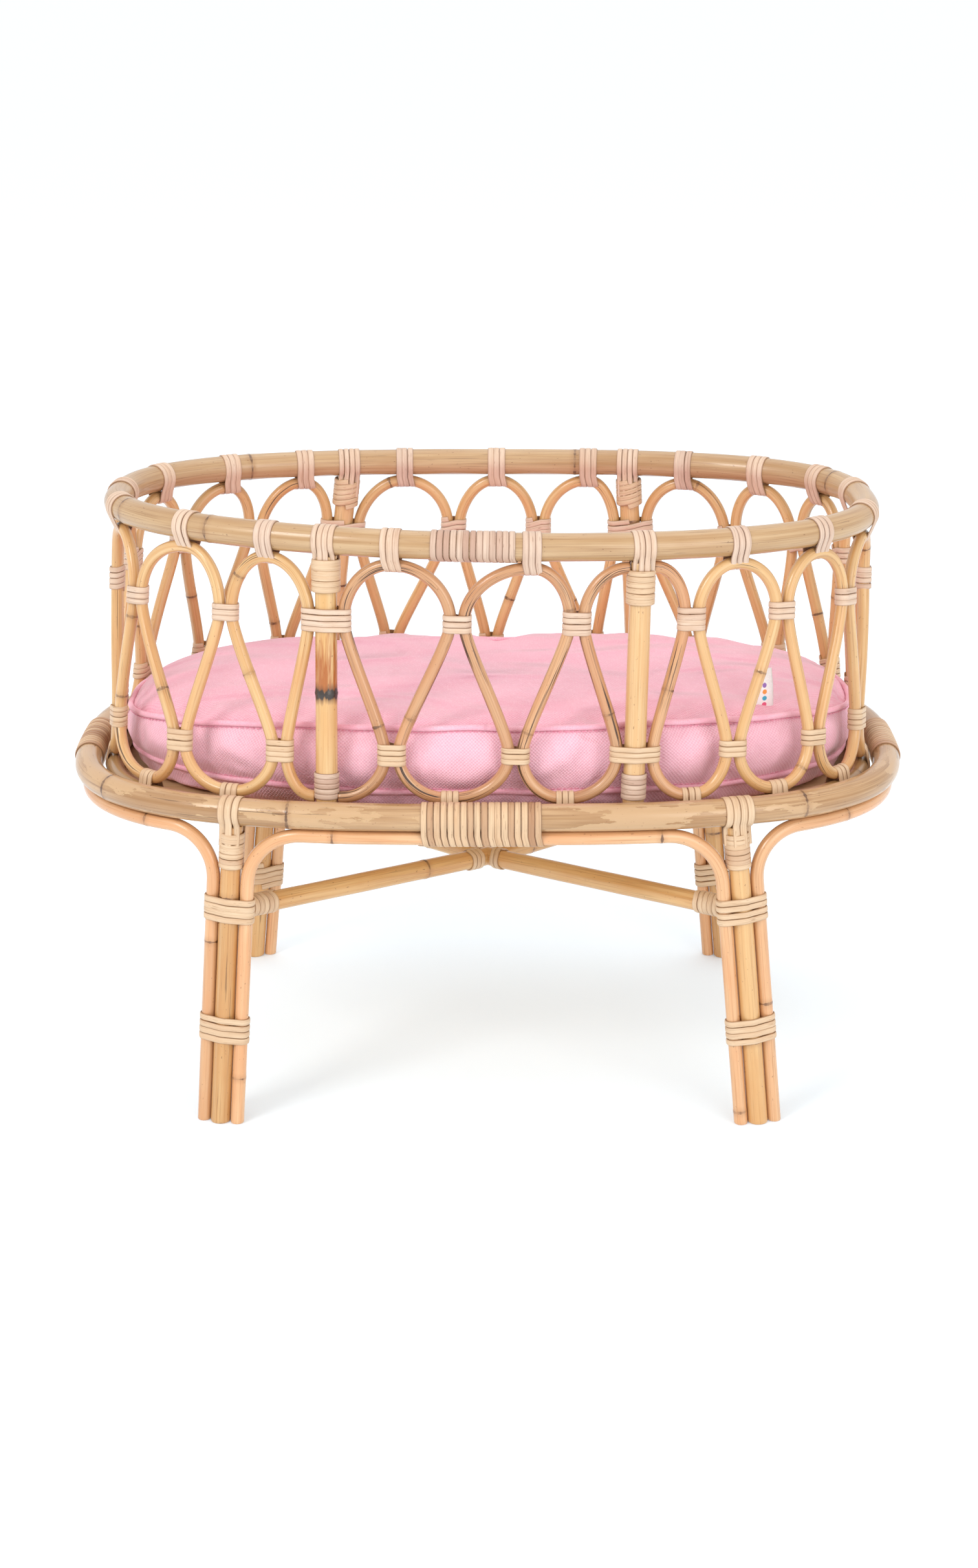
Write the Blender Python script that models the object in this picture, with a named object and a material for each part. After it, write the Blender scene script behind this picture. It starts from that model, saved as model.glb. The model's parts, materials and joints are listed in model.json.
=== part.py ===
"""Oval rattan doll's bassinet on a four-legged stand, with a loose canvas mattress.

Metres, +Z up, +X along the bassinet, -Y towards its front.  The origin is on the floor
under the middle of the stand ring.  Poles and canes are tubes swept along curves:
the curves come from three ovals (rim, stand ring, base ring) and from the wall between
the base ring and the rim.  A place along the wall is a "turn": 0 at the front's middle,
0.25 at the right end, 0.5 at the back's middle and 0.75 at the left end.
"""
import math

import bmesh
import bpy
from mathutils import Matrix, Vector

# ---------------------------------------------------------------- driving dimensions
GAP = 0.0003                    # clearance between neighbouring solids

RING_R = 0.008                  # stand ring: a 16 mm pole
RING_HALF_LENGTH = 0.242
RING_HALF_WIDTH = 0.1417
RING_SQUARENESS = 2.91
RING_Z = 0.1924

PEEL = 0.0009                   # thickness of a wrapped rattan peel
PEEL_CLEARANCE = 0.0004

RIM_R = 0.008                   # top rim: a 16 mm pole, bent a little unevenly by hand
RIM_HALF_LENGTH = 0.2228
RIM_HALF_WIDTH = 0.118
RIM_CENTRE = (0.0024, -0.0016)
RIM_SQUARENESS = {"front_right": 2.2, "back_right": 2.7, "back_left": 2.7, "front_left": 2.0}
RIM_Z = 0.3442
RIM_LEFT_RISE = 0.0019          # the rim isn't quite level
RIM_CORNER_RISE = 0.0016

BASE_R = 0.0055                 # base ring, nested inside the stand ring and its wraps
BASE_OFFSET = RING_R + PEEL_CLEARANCE + PEEL + GAP + BASE_R
WALL_LEAN = 0.013               # the weave leans towards the front's middle, in turns

CANE_R = 0.0035                 # weaving canes: 7 mm
POST_R = 0.00625                # wall posts: 12.5 mm
LEG_R = 0.006                   # leg poles: 12 mm
BRACKET_R = 0.004               # bracket canes: 8 mm
STRETCHER_R = 0.0058

SWEEP_BOTTOM_Z = 0.1985         # axis of the cane at the foot of each loop
BASE_Z = SWEEP_BOTTOM_Z - CANE_R - GAP - BASE_R
LOWER_TIE_Z = 0.2242            # where a loop's two sides meet
UPPER_TIE_Z = 0.3010            # where neighbouring loops meet
NECK = 0.013                    # how long a cane stays upright at a tie
LEAD = 0.0012                   # straight bit at a cane's cut end

LOOPS = (       # turns of each loop: its arch's top, its neck, its tie and foot with the next
    (0.8395, 0.8370, 0.8630, 0.8665), (0.8865, 0.8930, 0.9175, 0.9175),
    (0.9510, 0.9510, 0.9840, 0.9810), (1.0205, 1.0145, 1.0440, 1.0405),
    (1.0757, 1.0757, 1.1025, 1.1055), (1.1250, 1.1270, 1.1525, 1.1520),
    (1.1740, 1.1740, 1.1985, 1.1935), (1.2220, 1.2160, 1.2430, 1.2330),
    (1.2745, 1.2745, 1.2925, 1.2925), (1.3105, 1.3105, 1.3295, 1.3295),
    (1.3500, 1.3500, 1.3695, 1.3695), (1.3935, 1.3935, 1.4250, 1.4250),
    (1.4475, 1.4475, 1.4755, 1.4755), (1.4995, 1.4995, 1.5220, 1.5220),
    (1.5515, 1.5515, 1.5830, 1.5830), (1.6085, 1.6085, 1.6320, 1.6320),
    (1.6515, 1.6515, 1.6760, 1.6760), (1.6965, 1.6965, 1.7190, 1.7190),
    (1.7420, 1.7420, 1.7610, 1.7610), (1.7810, 1.7810, 1.8030, 1.8180),
)
POST_TURNS = {"front_left": 0.9175, "front_right": 1.0757, "back_right": 1.4250,
              "back_left": 1.5830}
SPLIT_LOOP = 5                  # the loop whose arch is interrupted by the front right post

LEGS = {                        # turn on the stand ring, foot x, foot y
    "front_left": (0.888, -0.1574, -0.1320),
    "front_right": (0.110, 0.1600, -0.1325),
    "back_right": (0.390, 0.1595, 0.1300),
    "back_left": (0.610, -0.1600, 0.1310),
}
BRACKETS = {                    # each bracket cane joins two legs: from, to
    "front": ("front_left", "front_right"),
    "right": ("front_right", "back_right"),
    "back": ("back_right", "back_left"),
    "left": ("back_left", "front_left"),
}
BRACKET_BEND = 0.030            # radius of the bend from the leg to the ring
LEG_TIES = {"upper": (0.1336, 0.0155), "lower": (0.0592, 0.0165)}   # height, width
COLLAR_BOTTOM_Z = 0.159
COLLAR_TOP_Z = 0.1825
STRETCHER_Z = {"front": 0.1315, "middle": 0.1185, "back": 0.1180}
CROSSING_TIE = (0.0090, 0.0190)     # from and to, measured from the crossing

RIM_WRAP_TURNS = (-0.0325, 0.0115)
RING_WRAP_TURNS = {"front": (-0.0300, 0.0255), "right": (0.228, 0.272),
                   "back": (0.474, 0.526), "left": (0.728, 0.772)}

FLOOR_TOP_Z = BASE_Z - BASE_R - GAP
FLOOR_THICKNESS = 0.004
MATTRESS_SIDE_GAP = 0.0095      # inside the rim's centre line, so that it lifts out
MATTRESS_BOTTOM_Z = FLOOR_TOP_Z + GAP
MATTRESS_LOWER_SEAM_Z = 0.1975
MATTRESS_UPPER_SEAM_Z = 0.2335
MATTRESS_CROWN_Z = 0.2460
COVER_THICKNESS = 0.0015
ZIP_SLOT = (0.130, 0.010, 0.0030)   # opening in the cover's back side
LABEL = (0.0130, 0.0010, 0.0240)
LABEL_TURN = 0.157

RING_STEPS = 96
OVAL_SAMPLES = 720

WOOD = {
    "rim": (0.76, 0.62, 0.36), "ring": (0.70, 0.57, 0.33), "post": (0.87, 0.70, 0.40),
    "cane": (0.86, 0.66, 0.40), "pink_cane": (0.83, 0.58, 0.37), "leg": (0.85, 0.67, 0.38),
    "bracket": (0.90, 0.64, 0.39), "peel": (0.86, 0.70, 0.50), "floor": (0.78, 0.66, 0.46),
}
PINK = (0.98, 0.63, 0.71)
FOAM = (0.95, 0.93, 0.86)
LABEL_WHITE = (0.95, 0.94, 0.92)


# ---------------------------------------------------------------- scene helpers
def clear_scene():
    for obj in list(bpy.data.objects):
        bpy.data.objects.remove(obj, do_unlink=True)


def make_material(name, color, roughness):
    material = bpy.data.materials.new(name)
    material.use_nodes = True
    shader = material.node_tree.nodes["Principled BSDF"]
    shader.inputs["Base Color"].default_value = (*color, 1.0)
    shader.inputs["Roughness"].default_value = roughness
    shader.inputs["Metallic"].default_value = 0.0
    return material


def finish_object(name, bm, color, roughness=0.45):
    bmesh.ops.recalc_face_normals(bm, faces=bm.faces)
    mesh = bpy.data.meshes.new(name)
    bm.to_mesh(mesh)
    bm.free()
    mesh.shade_smooth()
    mesh.set_sharp_from_angle(angle=math.radians(50))
    mesh.materials.append(make_material(name, color, roughness))
    obj = bpy.data.objects.new(name, mesh)
    bpy.context.scene.collection.objects.link(obj)
    return obj


def subtract(obj, cutter):
    cutter.hide_render = True
    cutter.display_type = "WIRE"
    modifier = obj.modifiers.new("cut", "BOOLEAN")
    modifier.operation = "DIFFERENCE"
    modifier.solver = "EXACT"
    modifier.object = cutter


# ---------------------------------------------------------------- ovals
def superellipse(half_length, half_width, squareness, centre=(0.0, 0.0)):
    """Closed oval from the front's middle, counterclockwise seen from above."""
    points = []
    for step in range(OVAL_SAMPLES):
        angle = -math.pi / 2 + 2 * math.pi * step / OVAL_SAMPLES
        c, s = math.cos(angle), math.sin(angle)
        side = ("front" if s < 0 else "back") + ("_right" if c >= 0 else "_left")
        power = 2 / (squareness[side] if isinstance(squareness, dict) else squareness)
        x = half_length * math.copysign(abs(c) ** power, c) + centre[0]
        y = half_width * math.copysign(abs(s) ** power, s) + centre[1]
        points.append(Vector((x, y)))
    return points


def offset_inwards(points, distance):
    result = []
    for i, point in enumerate(points):
        tangent = (points[(i + 1) % len(points)] - points[i - 1]).normalized()
        result.append(point - Vector((tangent.y, -tangent.x)) * distance)
    return result


class Oval:
    """A closed plane curve that is read by the fraction of its length, its turn."""

    def __init__(self, points):
        self.points = points + [points[0]]
        self.lengths = [0.0]
        for a, b in zip(self.points, self.points[1:]):
            self.lengths.append(self.lengths[-1] + (b - a).length)
        self.perimeter = self.lengths[-1]

    def at(self, turn):
        distance = (turn % 1.0) * self.perimeter
        low, high = 0, len(self.lengths) - 1
        while high - low > 1:
            middle = (low + high) // 2
            if self.lengths[middle] <= distance:
                low = middle
            else:
                high = middle
        span = self.lengths[high] - self.lengths[low]
        return self.points[low].lerp(self.points[high], (distance - self.lengths[low]) / span)

    def tangent(self, turn):
        step = 0.002
        return (self.at(turn + step) - self.at(turn - step)).normalized()

    def normal(self, turn):
        """Outwards."""
        tangent = self.tangent(turn)
        return Vector((tangent.y, -tangent.x))


ring_points = superellipse(RING_HALF_LENGTH, RING_HALF_WIDTH, RING_SQUARENESS)
rim_points = superellipse(RIM_HALF_LENGTH, RIM_HALF_WIDTH, RIM_SQUARENESS, RIM_CENTRE)
RING = Oval(ring_points)
RIM = Oval(rim_points)
BASE = Oval(offset_inwards(ring_points, BASE_OFFSET))
MATTRESS = Oval(offset_inwards(rim_points, MATTRESS_SIDE_GAP))


def rim_height(turn):
    point = RIM.at(turn)
    u = (point.x - RIM_CENTRE[0]) / RIM_HALF_LENGTH
    v = (point.y - RIM_CENTRE[1]) / RIM_HALF_WIDTH
    return RIM_Z - RIM_LEFT_RISE * u + RIM_CORNER_RISE * u * v


def wall(turn, z):
    """Point of the wall's middle surface at a turn of the rim and a height."""
    low = BASE.at(turn - WALL_LEAN * math.sin(2 * math.pi * turn))
    high = RIM.at(turn)
    point = low.lerp(high, (z - BASE_Z) / (RIM_Z - BASE_Z))
    return Vector((point.x, point.y, z))


def beside(turn, z, distance):
    """The turn that lies a distance along the wall from another at the same height."""
    step = 0.002
    speed = (wall(turn + step, z) - wall(turn - step, z)).length / (2 * step)
    return turn + distance / speed


# ---------------------------------------------------------------- sweeps
def frames_along(path, closed):
    """Tangent, side and up for each point; side stays level, so tubes don't twist."""
    frames = []
    count = len(path)
    for i in range(count):
        before = path[(i - 1) % count] if closed or i > 0 else path[i]
        after = path[(i + 1) % count] if closed or i < count - 1 else path[i]
        frames.append((after - before).normalized())
    normals = []
    seed = Vector((0, 0, 1)) if abs(frames[0].z) < 0.9 else Vector((0, 1, 0))
    normal = (seed - frames[0] * seed.dot(frames[0])).normalized()
    for tangent in frames:
        if closed:
            normal = Vector((0, 0, 1))
        normal = (normal - tangent * normal.dot(tangent)).normalized()
        normals.append(normal)
    return [(t, n, t.cross(n)) for t, n in zip(frames, normals)]


def sweep(path, outline, closed=False, level_ends=(False, False)):
    """Tube whose cross-section is an outline of (up, side) pairs; ends can be cut level."""
    bm = bmesh.new()
    rings = []
    for i, (point, (tangent, up, side)) in enumerate(zip(path, frames_along(path, closed))):
        offsets = [up * a + side * b for a, b in outline]
        if (i == 0 and level_ends[0]) or (i == len(path) - 1 and level_ends[1]):
            offsets = [o - tangent * (o.z / tangent.z) for o in offsets]
        rings.append([bm.verts.new(point + o) for o in offsets])
    pairs = list(zip(rings, rings[1:]))
    if closed:
        pairs.append((rings[-1], rings[0]))
    for a, b in pairs:
        for k in range(len(a)):
            m = (k + 1) % len(a)
            bm.faces.new((a[k], a[m], b[m], b[k]))
    if not closed:
        bm.faces.new(rings[0])
        bm.faces.new(list(reversed(rings[-1])))
    return bm


def round_outline(radius, sides):
    step = 2 * math.pi / sides
    return [(radius * math.cos(step * k), radius * math.sin(step * k)) for k in range(sides)]


def hull_outline(circles, margin, sides):
    """Taut outline round circles of (up, side, radius), one point for each direction."""
    outline = []
    for k in range(sides):
        angle = 2 * math.pi * (k + 0.5) / sides
        a, b = math.cos(angle), math.sin(angle)
        up, across, radius = max(circles, key=lambda c: c[0] * a + c[1] * b + c[2])
        outline.append((up + (radius + margin) * a, across + (radius + margin) * b))
    return outline


def sleeve(path, circles, sides=20):
    """Open band of wrapped peel, held taut round poles that run along the path."""
    bm = bmesh.new()
    inner = hull_outline(circles, PEEL_CLEARANCE, sides)
    outer = hull_outline(circles, PEEL_CLEARANCE + PEEL, sides)
    layers = []
    for point, (_, up, side) in zip(path, frames_along(path, False)):
        layers.append([[bm.verts.new(point + up * a + side * b) for a, b in outline]
                       for outline in (inner, outer)])
    for k in range(sides):
        m = (k + 1) % sides
        for (in_a, out_a), (in_b, out_b) in zip(layers, layers[1:]):
            bm.faces.new((in_a[m], in_a[k], in_b[k], in_b[m]))
            bm.faces.new((out_a[k], out_a[m], out_b[m], out_b[k]))
        for inner_ring, outer_ring in (layers[0], layers[-1]):
            bm.faces.new((inner_ring[k], inner_ring[m], outer_ring[m], outer_ring[k]))
    return bm


def bezier(p0, p1, p2, p3, steps):
    """Points of a cubic curve, without its first."""
    points = []
    for i in range(1, steps + 1):
        t = i / steps
        s = 1 - t
        points.append(p0 * s ** 3 + p1 * (3 * s * s * t) + p2 * (3 * s * t * t) + p3 * t ** 3)
    return points


# ---------------------------------------------------------------- rings and posts
def make_rings():
    turns = [k / RING_STEPS for k in range(RING_STEPS)]
    rim = [Vector((*RIM.at(t), rim_height(t))) for t in turns]
    ring = [Vector((*RING.at(t), RING_Z)) for t in turns]
    base = [Vector((*BASE.at(t), BASE_Z)) for t in turns]
    finish_object("top_rim", sweep(rim, round_outline(RIM_R, 8), closed=True), WOOD["rim"])
    finish_object("stand_ring", sweep(ring, round_outline(RING_R, 8), closed=True),
                  WOOD["ring"])
    finish_object("base_ring", sweep(base, round_outline(BASE_R, 6), closed=True),
                  WOOD["ring"])


def make_posts():
    for place, turn in POST_TURNS.items():
        top = wall(turn, rim_height(turn) - RIM_R - GAP)
        bottom = wall(turn, BASE_Z + BASE_R + GAP)
        bm = sweep([bottom, top], round_outline(POST_R, 10), level_ends=(True, True))
        finish_object("post_" + place, bm, WOOD["post"])


# ---------------------------------------------------------------- woven loops
def nearest_post(turn):
    return min(abs((turn - post + 0.5) % 1.0 - 0.5) for post in POST_TURNS.values())


def half_spacing(turn):
    """Half the distance between two canes tied side by side, or with a post between."""
    if nearest_post(turn) < 0.004:
        return POST_R + GAP + CANE_R
    return CANE_R + GAP / 2


def end_gap(turn):
    if nearest_post(turn) < 0.004:
        return POST_R + 2 * GAP
    return GAP / 2


def loop_half(arch, neck, tie, foot_turn, side):
    """From the foot, under a neighbour's upper tie, up one side to the arch's top.

    side is -1 for the half towards lower turns and 1 for the other.
    """
    foot_gap = end_gap(foot_turn)
    foot = beside(foot_turn, SWEEP_BOTTOM_Z, -side * foot_gap)
    start = beside(foot_turn, SWEEP_BOTTOM_Z, -side * (foot_gap + LEAD))
    lower = beside(neck, LOWER_TIE_Z, side * half_spacing(neck))
    upper = beside(tie, UPPER_TIE_Z, -side * half_spacing(tie))
    top_z = rim_height(arch) - RIM_R - GAP - CANE_R
    flat = [Vector((foot, SWEEP_BOTTOM_Z)), Vector((start, SWEEP_BOTTOM_Z))]
    for k in range(1, 4):
        a = math.pi / 2 * k / 3
        flat.append(Vector((start + (lower - start) * math.sin(a),
                            LOWER_TIE_Z + (SWEEP_BOTTOM_Z - LOWER_TIE_Z) * math.cos(a))))
    flat += bezier(flat[-1], Vector((lower, LOWER_TIE_Z + NECK)),
                   Vector((upper, UPPER_TIE_Z - NECK)), Vector((upper, UPPER_TIE_Z)), 5)
    split = nearest_post(arch) < 0.004
    peak = beside(arch, top_z, side * (end_gap(arch) + LEAD)) if split else arch
    for k in range(1, 5):
        a = math.pi / 2 * k / 4
        flat.append(Vector((peak + (upper - peak) * math.cos(a),
                            UPPER_TIE_Z + (top_z - UPPER_TIE_Z) * math.sin(a))))
    if split:
        flat.append(Vector((beside(arch, top_z, side * end_gap(arch)), top_z)))
    return [wall(t, z) for t, z in flat]


def make_loops():
    for i, (arch, neck, tie, foot) in enumerate(LOOPS):
        whole = 1.0 if i == 0 else 0.0
        first = loop_half(arch, neck, LOOPS[i - 1][2] - whole, LOOPS[i - 1][3] - whole, -1)
        second = loop_half(arch, neck, tie, foot, 1)
        color = WOOD["pink_cane"] if i + 1 in (3, 4, 5) else WOOD["cane"]
        name = "loop_%02d" % (i + 1)
        if i + 1 == SPLIT_LOOP:
            for half, label in ((first, "_left"), (second, "_right")):
                finish_object(name + label, sweep(half, round_outline(CANE_R, 6)), color)
        else:
            path = first + list(reversed(second[:-1]))
            finish_object(name, sweep(path, round_outline(CANE_R, 6)), color)


# ---------------------------------------------------------------- stand
def leg_axis(place, z):
    turn, foot_x, foot_y = LEGS[place]
    foot = Vector((foot_x, foot_y))
    top = RING.at(turn)
    top_z = RING_Z - RING_R - GAP
    point = foot.lerp(top, z / top_z)
    return Vector((point.x, point.y, z))


def leg_side(place, direction):
    """Level step from a leg's pole to the bracket cane beside it."""
    tangent = RING.tangent(LEGS[place][0])
    distance = LEG_R + GAP + BRACKET_R
    return Vector((tangent.x, tangent.y, 0.0)) * distance * direction


def make_legs():
    for place in LEGS:
        path = [leg_axis(place, 0.0), leg_axis(place, RING_Z - RING_R - GAP)]
        bm = sweep(path, round_outline(LEG_R, 10), level_ends=(True, True))
        finish_object("leg_" + place, bm, WOOD["leg"])


def bracket_end(place, direction):
    """Up beside a leg and round its bend; returns the points and the ring turn reached."""
    step = leg_side(place, direction)
    under_z = RING_Z - RING_R - GAP - BRACKET_R
    bend_z = under_z - BRACKET_BEND
    reach = step.length + BRACKET_BEND
    turn = LEGS[place][0] + direction * reach / RING.perimeter
    start = leg_axis(place, bend_z) + step
    rise = (leg_axis(place, under_z) - leg_axis(place, bend_z)) * 0.56
    goal = Vector((*RING.at(turn), under_z))
    back = RING.tangent(turn) * (-direction * BRACKET_BEND * 0.56)
    points = [leg_axis(place, 0.0) + step, start]
    points += bezier(start, start + rise, goal + Vector((back.x, back.y, 0.0)), goal, 6)
    return points, turn


def make_brackets():
    under_z = RING_Z - RING_R - GAP - BRACKET_R
    for side, (first, second) in BRACKETS.items():
        rising, start = bracket_end(first, 1)
        falling, stop = bracket_end(second, -1)
        if stop < start:
            stop += 1.0
        steps = max(2, round((stop - start) * RING_STEPS))
        turns = [start + (stop - start) * k / steps for k in range(1, steps)]
        level = [Vector((*RING.at(t), under_z)) for t in turns]
        path = rising + level + list(reversed(falling))
        bm = sweep(path, round_outline(BRACKET_R, 6), level_ends=(True, True))
        finish_object("bracket_" + side, bm, WOOD["bracket"])


def stretcher_path(front, back):
    """Pole between two legs, from the band round one to the band round the other."""
    ends = []
    for place, other, z in ((front, back, STRETCHER_Z["front"]),
                            (back, front, STRETCHER_Z["back"])):
        inwards = (leg_axis(other, z) - leg_axis(place, z)).normalized()
        reach = max(LEG_R, abs(leg_side(place, 1).dot(inwards)) + BRACKET_R)
        reach += PEEL_CLEARANCE + PEEL + 2 * GAP
        ends.append(leg_axis(place, z) + inwards * reach)
    middle = Vector((0.0, 0.0, STRETCHER_Z["middle"]))
    return [ends[0], middle, ends[1]]


def make_stretchers():
    paths = {"a": stretcher_path("front_left", "back_right"),
             "b": stretcher_path("front_right", "back_left")}
    notch_up = {"a": 1, "b": -1}
    other = {"a": "b", "b": "a"}
    for name, path in paths.items():
        bm = sweep(path, round_outline(STRETCHER_R, 10))
        obj = finish_object("stretcher_" + name, bm, WOOD["leg"])
        crossing = paths[other[name]]
        along = (crossing[2] - crossing[0]).normalized()
        height = 2 * STRETCHER_R
        cutter = bmesh.new()
        bmesh.ops.create_cube(cutter, size=1.0)
        shape = Matrix.Diagonal((0.06, 2 * (STRETCHER_R + GAP), height, 1.0))
        turn = Matrix.Rotation(math.atan2(along.y, along.x), 4, "Z")
        rise = notch_up[name] * (height / 2 - GAP / 2)
        place = Matrix.Translation(crossing[1] + Vector((0, 0, rise)))
        cutter.transform(place @ turn @ shape)
        subtract(obj, finish_object("notch_" + name, cutter, WOOD["leg"]))
    near, middle = paths["a"][:2]
    outwards = (near - middle).normalized()
    path = [middle + outwards * distance for distance in CROSSING_TIE]
    band = sleeve(path, [(0.0, 0.0, STRETCHER_R)], 14)
    finish_object("crossing_tie", band, WOOD["peel"])


def make_leg_ties():
    for place in LEGS:
        step = leg_side(place, 1)
        for level, (height, width) in LEG_TIES.items():
            path = [leg_axis(place, height - width / 2), leg_axis(place, height + width / 2)]
            _, up, side = frames_along(path, False)[0]
            circles = [(0.0, 0.0, LEG_R)]
            for d in (-1, 1):
                circles.append((d * step.dot(up), d * step.dot(side), BRACKET_R))
            finish_object("tie_%s_%s" % (level, place), sleeve(path, circles, 28), WOOD["peel"])
        path = [leg_axis(place, COLLAR_BOTTOM_Z), leg_axis(place, COLLAR_TOP_Z)]
        finish_object("collar_" + place, sleeve(path, [(0.0, 0.0, LEG_R)], 14), WOOD["peel"])


# ---------------------------------------------------------------- wraps on the rings
def make_ring_wraps():
    first, last = RIM_WRAP_TURNS
    turns = [first + (last - first) * k / 4 for k in range(5)]
    path = [Vector((*RIM.at(t), rim_height(t))) for t in turns]
    finish_object("rim_splice_wrap", sleeve(path, [(0.0, 0.0, RIM_R)], 16), WOOD["peel"])
    drop = RING_R + GAP + BRACKET_R
    for side, (first, last) in RING_WRAP_TURNS.items():
        turns = [first + (last - first) * k / 4 for k in range(5)]
        path = [Vector((*RING.at(t), RING_Z)) for t in turns]
        circles = [(0.0, 0.0, RING_R), (-drop, 0.0, BRACKET_R)]
        finish_object("ring_wrap_" + side, sleeve(path, circles, 24), WOOD["peel"])


# ---------------------------------------------------------------- floor and mattress
def make_floor():
    steps = 48
    bm = bmesh.new()
    outline = [BASE.at(k / steps) for k in range(steps)]
    face = bm.faces.new([bm.verts.new((p.x, p.y, FLOOR_TOP_Z - FLOOR_THICKNESS)) for p in outline])
    raised = bmesh.ops.extrude_face_region(bm, geom=[face])
    verts = [v for v in raised["geom"] if isinstance(v, bmesh.types.BMVert)]
    bmesh.ops.translate(bm, verts=verts, vec=(0, 0, FLOOR_THICKNESS))
    finish_object("floor_panel", bm, WOOD["floor"], 0.6)


def cushion(inset, steps=40):
    """Closed crowned cushion; inset shrinks it on every side."""
    levels = [                                   # height, distance in from the side
        (MATTRESS_BOTTOM_Z + inset, 0.012),
        (MATTRESS_BOTTOM_Z + inset + 0.003, 0.004),
        (MATTRESS_LOWER_SEAM_Z, 0.0008),
        ((MATTRESS_LOWER_SEAM_Z + MATTRESS_UPPER_SEAM_Z) / 2, 0.0),
        (MATTRESS_UPPER_SEAM_Z - inset, 0.0008),
        (MATTRESS_UPPER_SEAM_Z - inset + 0.0055, 0.014),
        (MATTRESS_CROWN_Z - inset - 0.0030, 0.036),
        (MATTRESS_CROWN_Z - inset, 0.070),
    ]
    centre = Vector(RIM_CENTRE)
    bm = bmesh.new()
    rings = []
    for z, inwards in levels:
        ring = []
        for k in range(steps):
            edge = MATTRESS.at(k / steps)
            reach = (edge - centre).length
            point = centre.lerp(edge, (reach - inwards - inset) / reach)
            ring.append(bm.verts.new((point.x, point.y, z)))
        rings.append(ring)
    for a, b in zip(rings, rings[1:]):
        for k in range(steps):
            m = (k + 1) % steps
            bm.faces.new((a[k], a[m], b[m], b[k]))
    bm.faces.new(list(reversed(rings[0])))
    bm.faces.new(rings[-1])
    return bm


def make_mattress():
    cover = finish_object("mattress_cover", cushion(0.0), PINK, 0.9)
    subtract(cover, finish_object("cover_cavity", cushion(COVER_THICKNESS), PINK))
    slot = bmesh.new()
    bmesh.ops.create_cube(slot, size=1.0)
    back = MATTRESS.at(0.5)
    slot.transform(Matrix.Translation((back.x, back.y, MATTRESS_LOWER_SEAM_Z + 0.004))
                   @ Matrix.Diagonal((*ZIP_SLOT, 1.0)))
    subtract(cover, finish_object("zip_slot", slot, PINK))
    finish_object("mattress_core", cushion(COVER_THICKNESS + 2 * GAP), FOAM, 0.9)


def make_label():
    """Small blank woven tag that stands up from the cover's upper seam, front right."""
    turn = LABEL_TURN
    edge = MATTRESS.at(turn) - MATTRESS.normal(turn) * 0.006
    width, thickness, height = LABEL
    tangent = MATTRESS.tangent(turn)
    bm = bmesh.new()
    bmesh.ops.create_cube(bm, size=1.0)
    lean = Matrix.Rotation(math.atan2(tangent.y, tangent.x), 4, "Z")
    base_z = MATTRESS_UPPER_SEAM_Z + 0.0035
    bm.transform(Matrix.Translation((edge.x, edge.y, base_z + height / 2)) @ lean
                 @ Matrix.Diagonal((width, thickness, height, 1.0)))
    finish_object("side_label", bm, LABEL_WHITE, 0.8)


clear_scene()
make_rings()
make_posts()
make_loops()
make_legs()
make_brackets()
make_stretchers()
make_leg_ties()
make_ring_wraps()
make_floor()
make_mattress()
make_label()
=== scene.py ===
import json
import math

import bpy
import numpy as np
from mathutils import Matrix, Vector


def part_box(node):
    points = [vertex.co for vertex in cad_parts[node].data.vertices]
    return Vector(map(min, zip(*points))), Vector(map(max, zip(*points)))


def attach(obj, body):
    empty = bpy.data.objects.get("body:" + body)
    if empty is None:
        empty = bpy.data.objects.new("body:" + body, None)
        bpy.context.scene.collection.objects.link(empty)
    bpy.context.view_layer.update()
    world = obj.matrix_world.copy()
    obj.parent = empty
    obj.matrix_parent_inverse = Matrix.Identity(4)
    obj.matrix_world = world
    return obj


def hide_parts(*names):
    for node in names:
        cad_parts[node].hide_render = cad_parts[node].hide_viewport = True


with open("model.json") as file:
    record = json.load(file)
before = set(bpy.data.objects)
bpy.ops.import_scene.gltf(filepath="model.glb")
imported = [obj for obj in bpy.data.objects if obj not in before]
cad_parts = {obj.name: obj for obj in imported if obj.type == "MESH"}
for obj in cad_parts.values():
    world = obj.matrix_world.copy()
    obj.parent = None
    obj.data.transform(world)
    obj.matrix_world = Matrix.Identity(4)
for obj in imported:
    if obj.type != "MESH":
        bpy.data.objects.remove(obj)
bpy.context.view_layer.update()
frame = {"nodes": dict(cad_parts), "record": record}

rng = np.random.default_rng(7)
X, Y, Z = np.eye(3)


def box(node):
    low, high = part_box(node)
    return np.array(low), np.array(high)


# ------ sizes read from the frame
ring_lo, ring_hi = box("stand_ring")
rim_lo, rim_hi = box("top_rim")
base_lo, base_hi = box("base_ring")
RING_R = (ring_hi[2] - ring_lo[2]) / 2
RING_Z = (ring_hi[2] + ring_lo[2]) / 2
RING_HALF = (ring_hi - ring_lo)[:2] / 2 - RING_R
RIM_R = RING_R
RIM_CENTRE = ((rim_hi + rim_lo) / 2)[:2]
RIM_HALF = (rim_hi - rim_lo)[:2] / 2 - RIM_R
BASE_R = (base_hi[2] - base_lo[2]) / 2
BASE_Z = (base_hi[2] + base_lo[2]) / 2
BASE_INSET = RING_HALF[0] - ((base_hi - base_lo)[0] / 2 - BASE_R)
FLOOR_TOP = box("floor_panel")[1][2]
RIM_LEFT_RISE, RIM_CORNER_RISE, RIM_TOP_RISE = 0.0019, 0.0016, 0.00235
RIM_Z = rim_hi[2] - RIM_R - RIM_TOP_RISE
CANE_R, POST_R, LEG_R, BRACKET_R, STRETCHER_R = 0.0035, 0.00625, 0.006, 0.004, 0.0058
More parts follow.
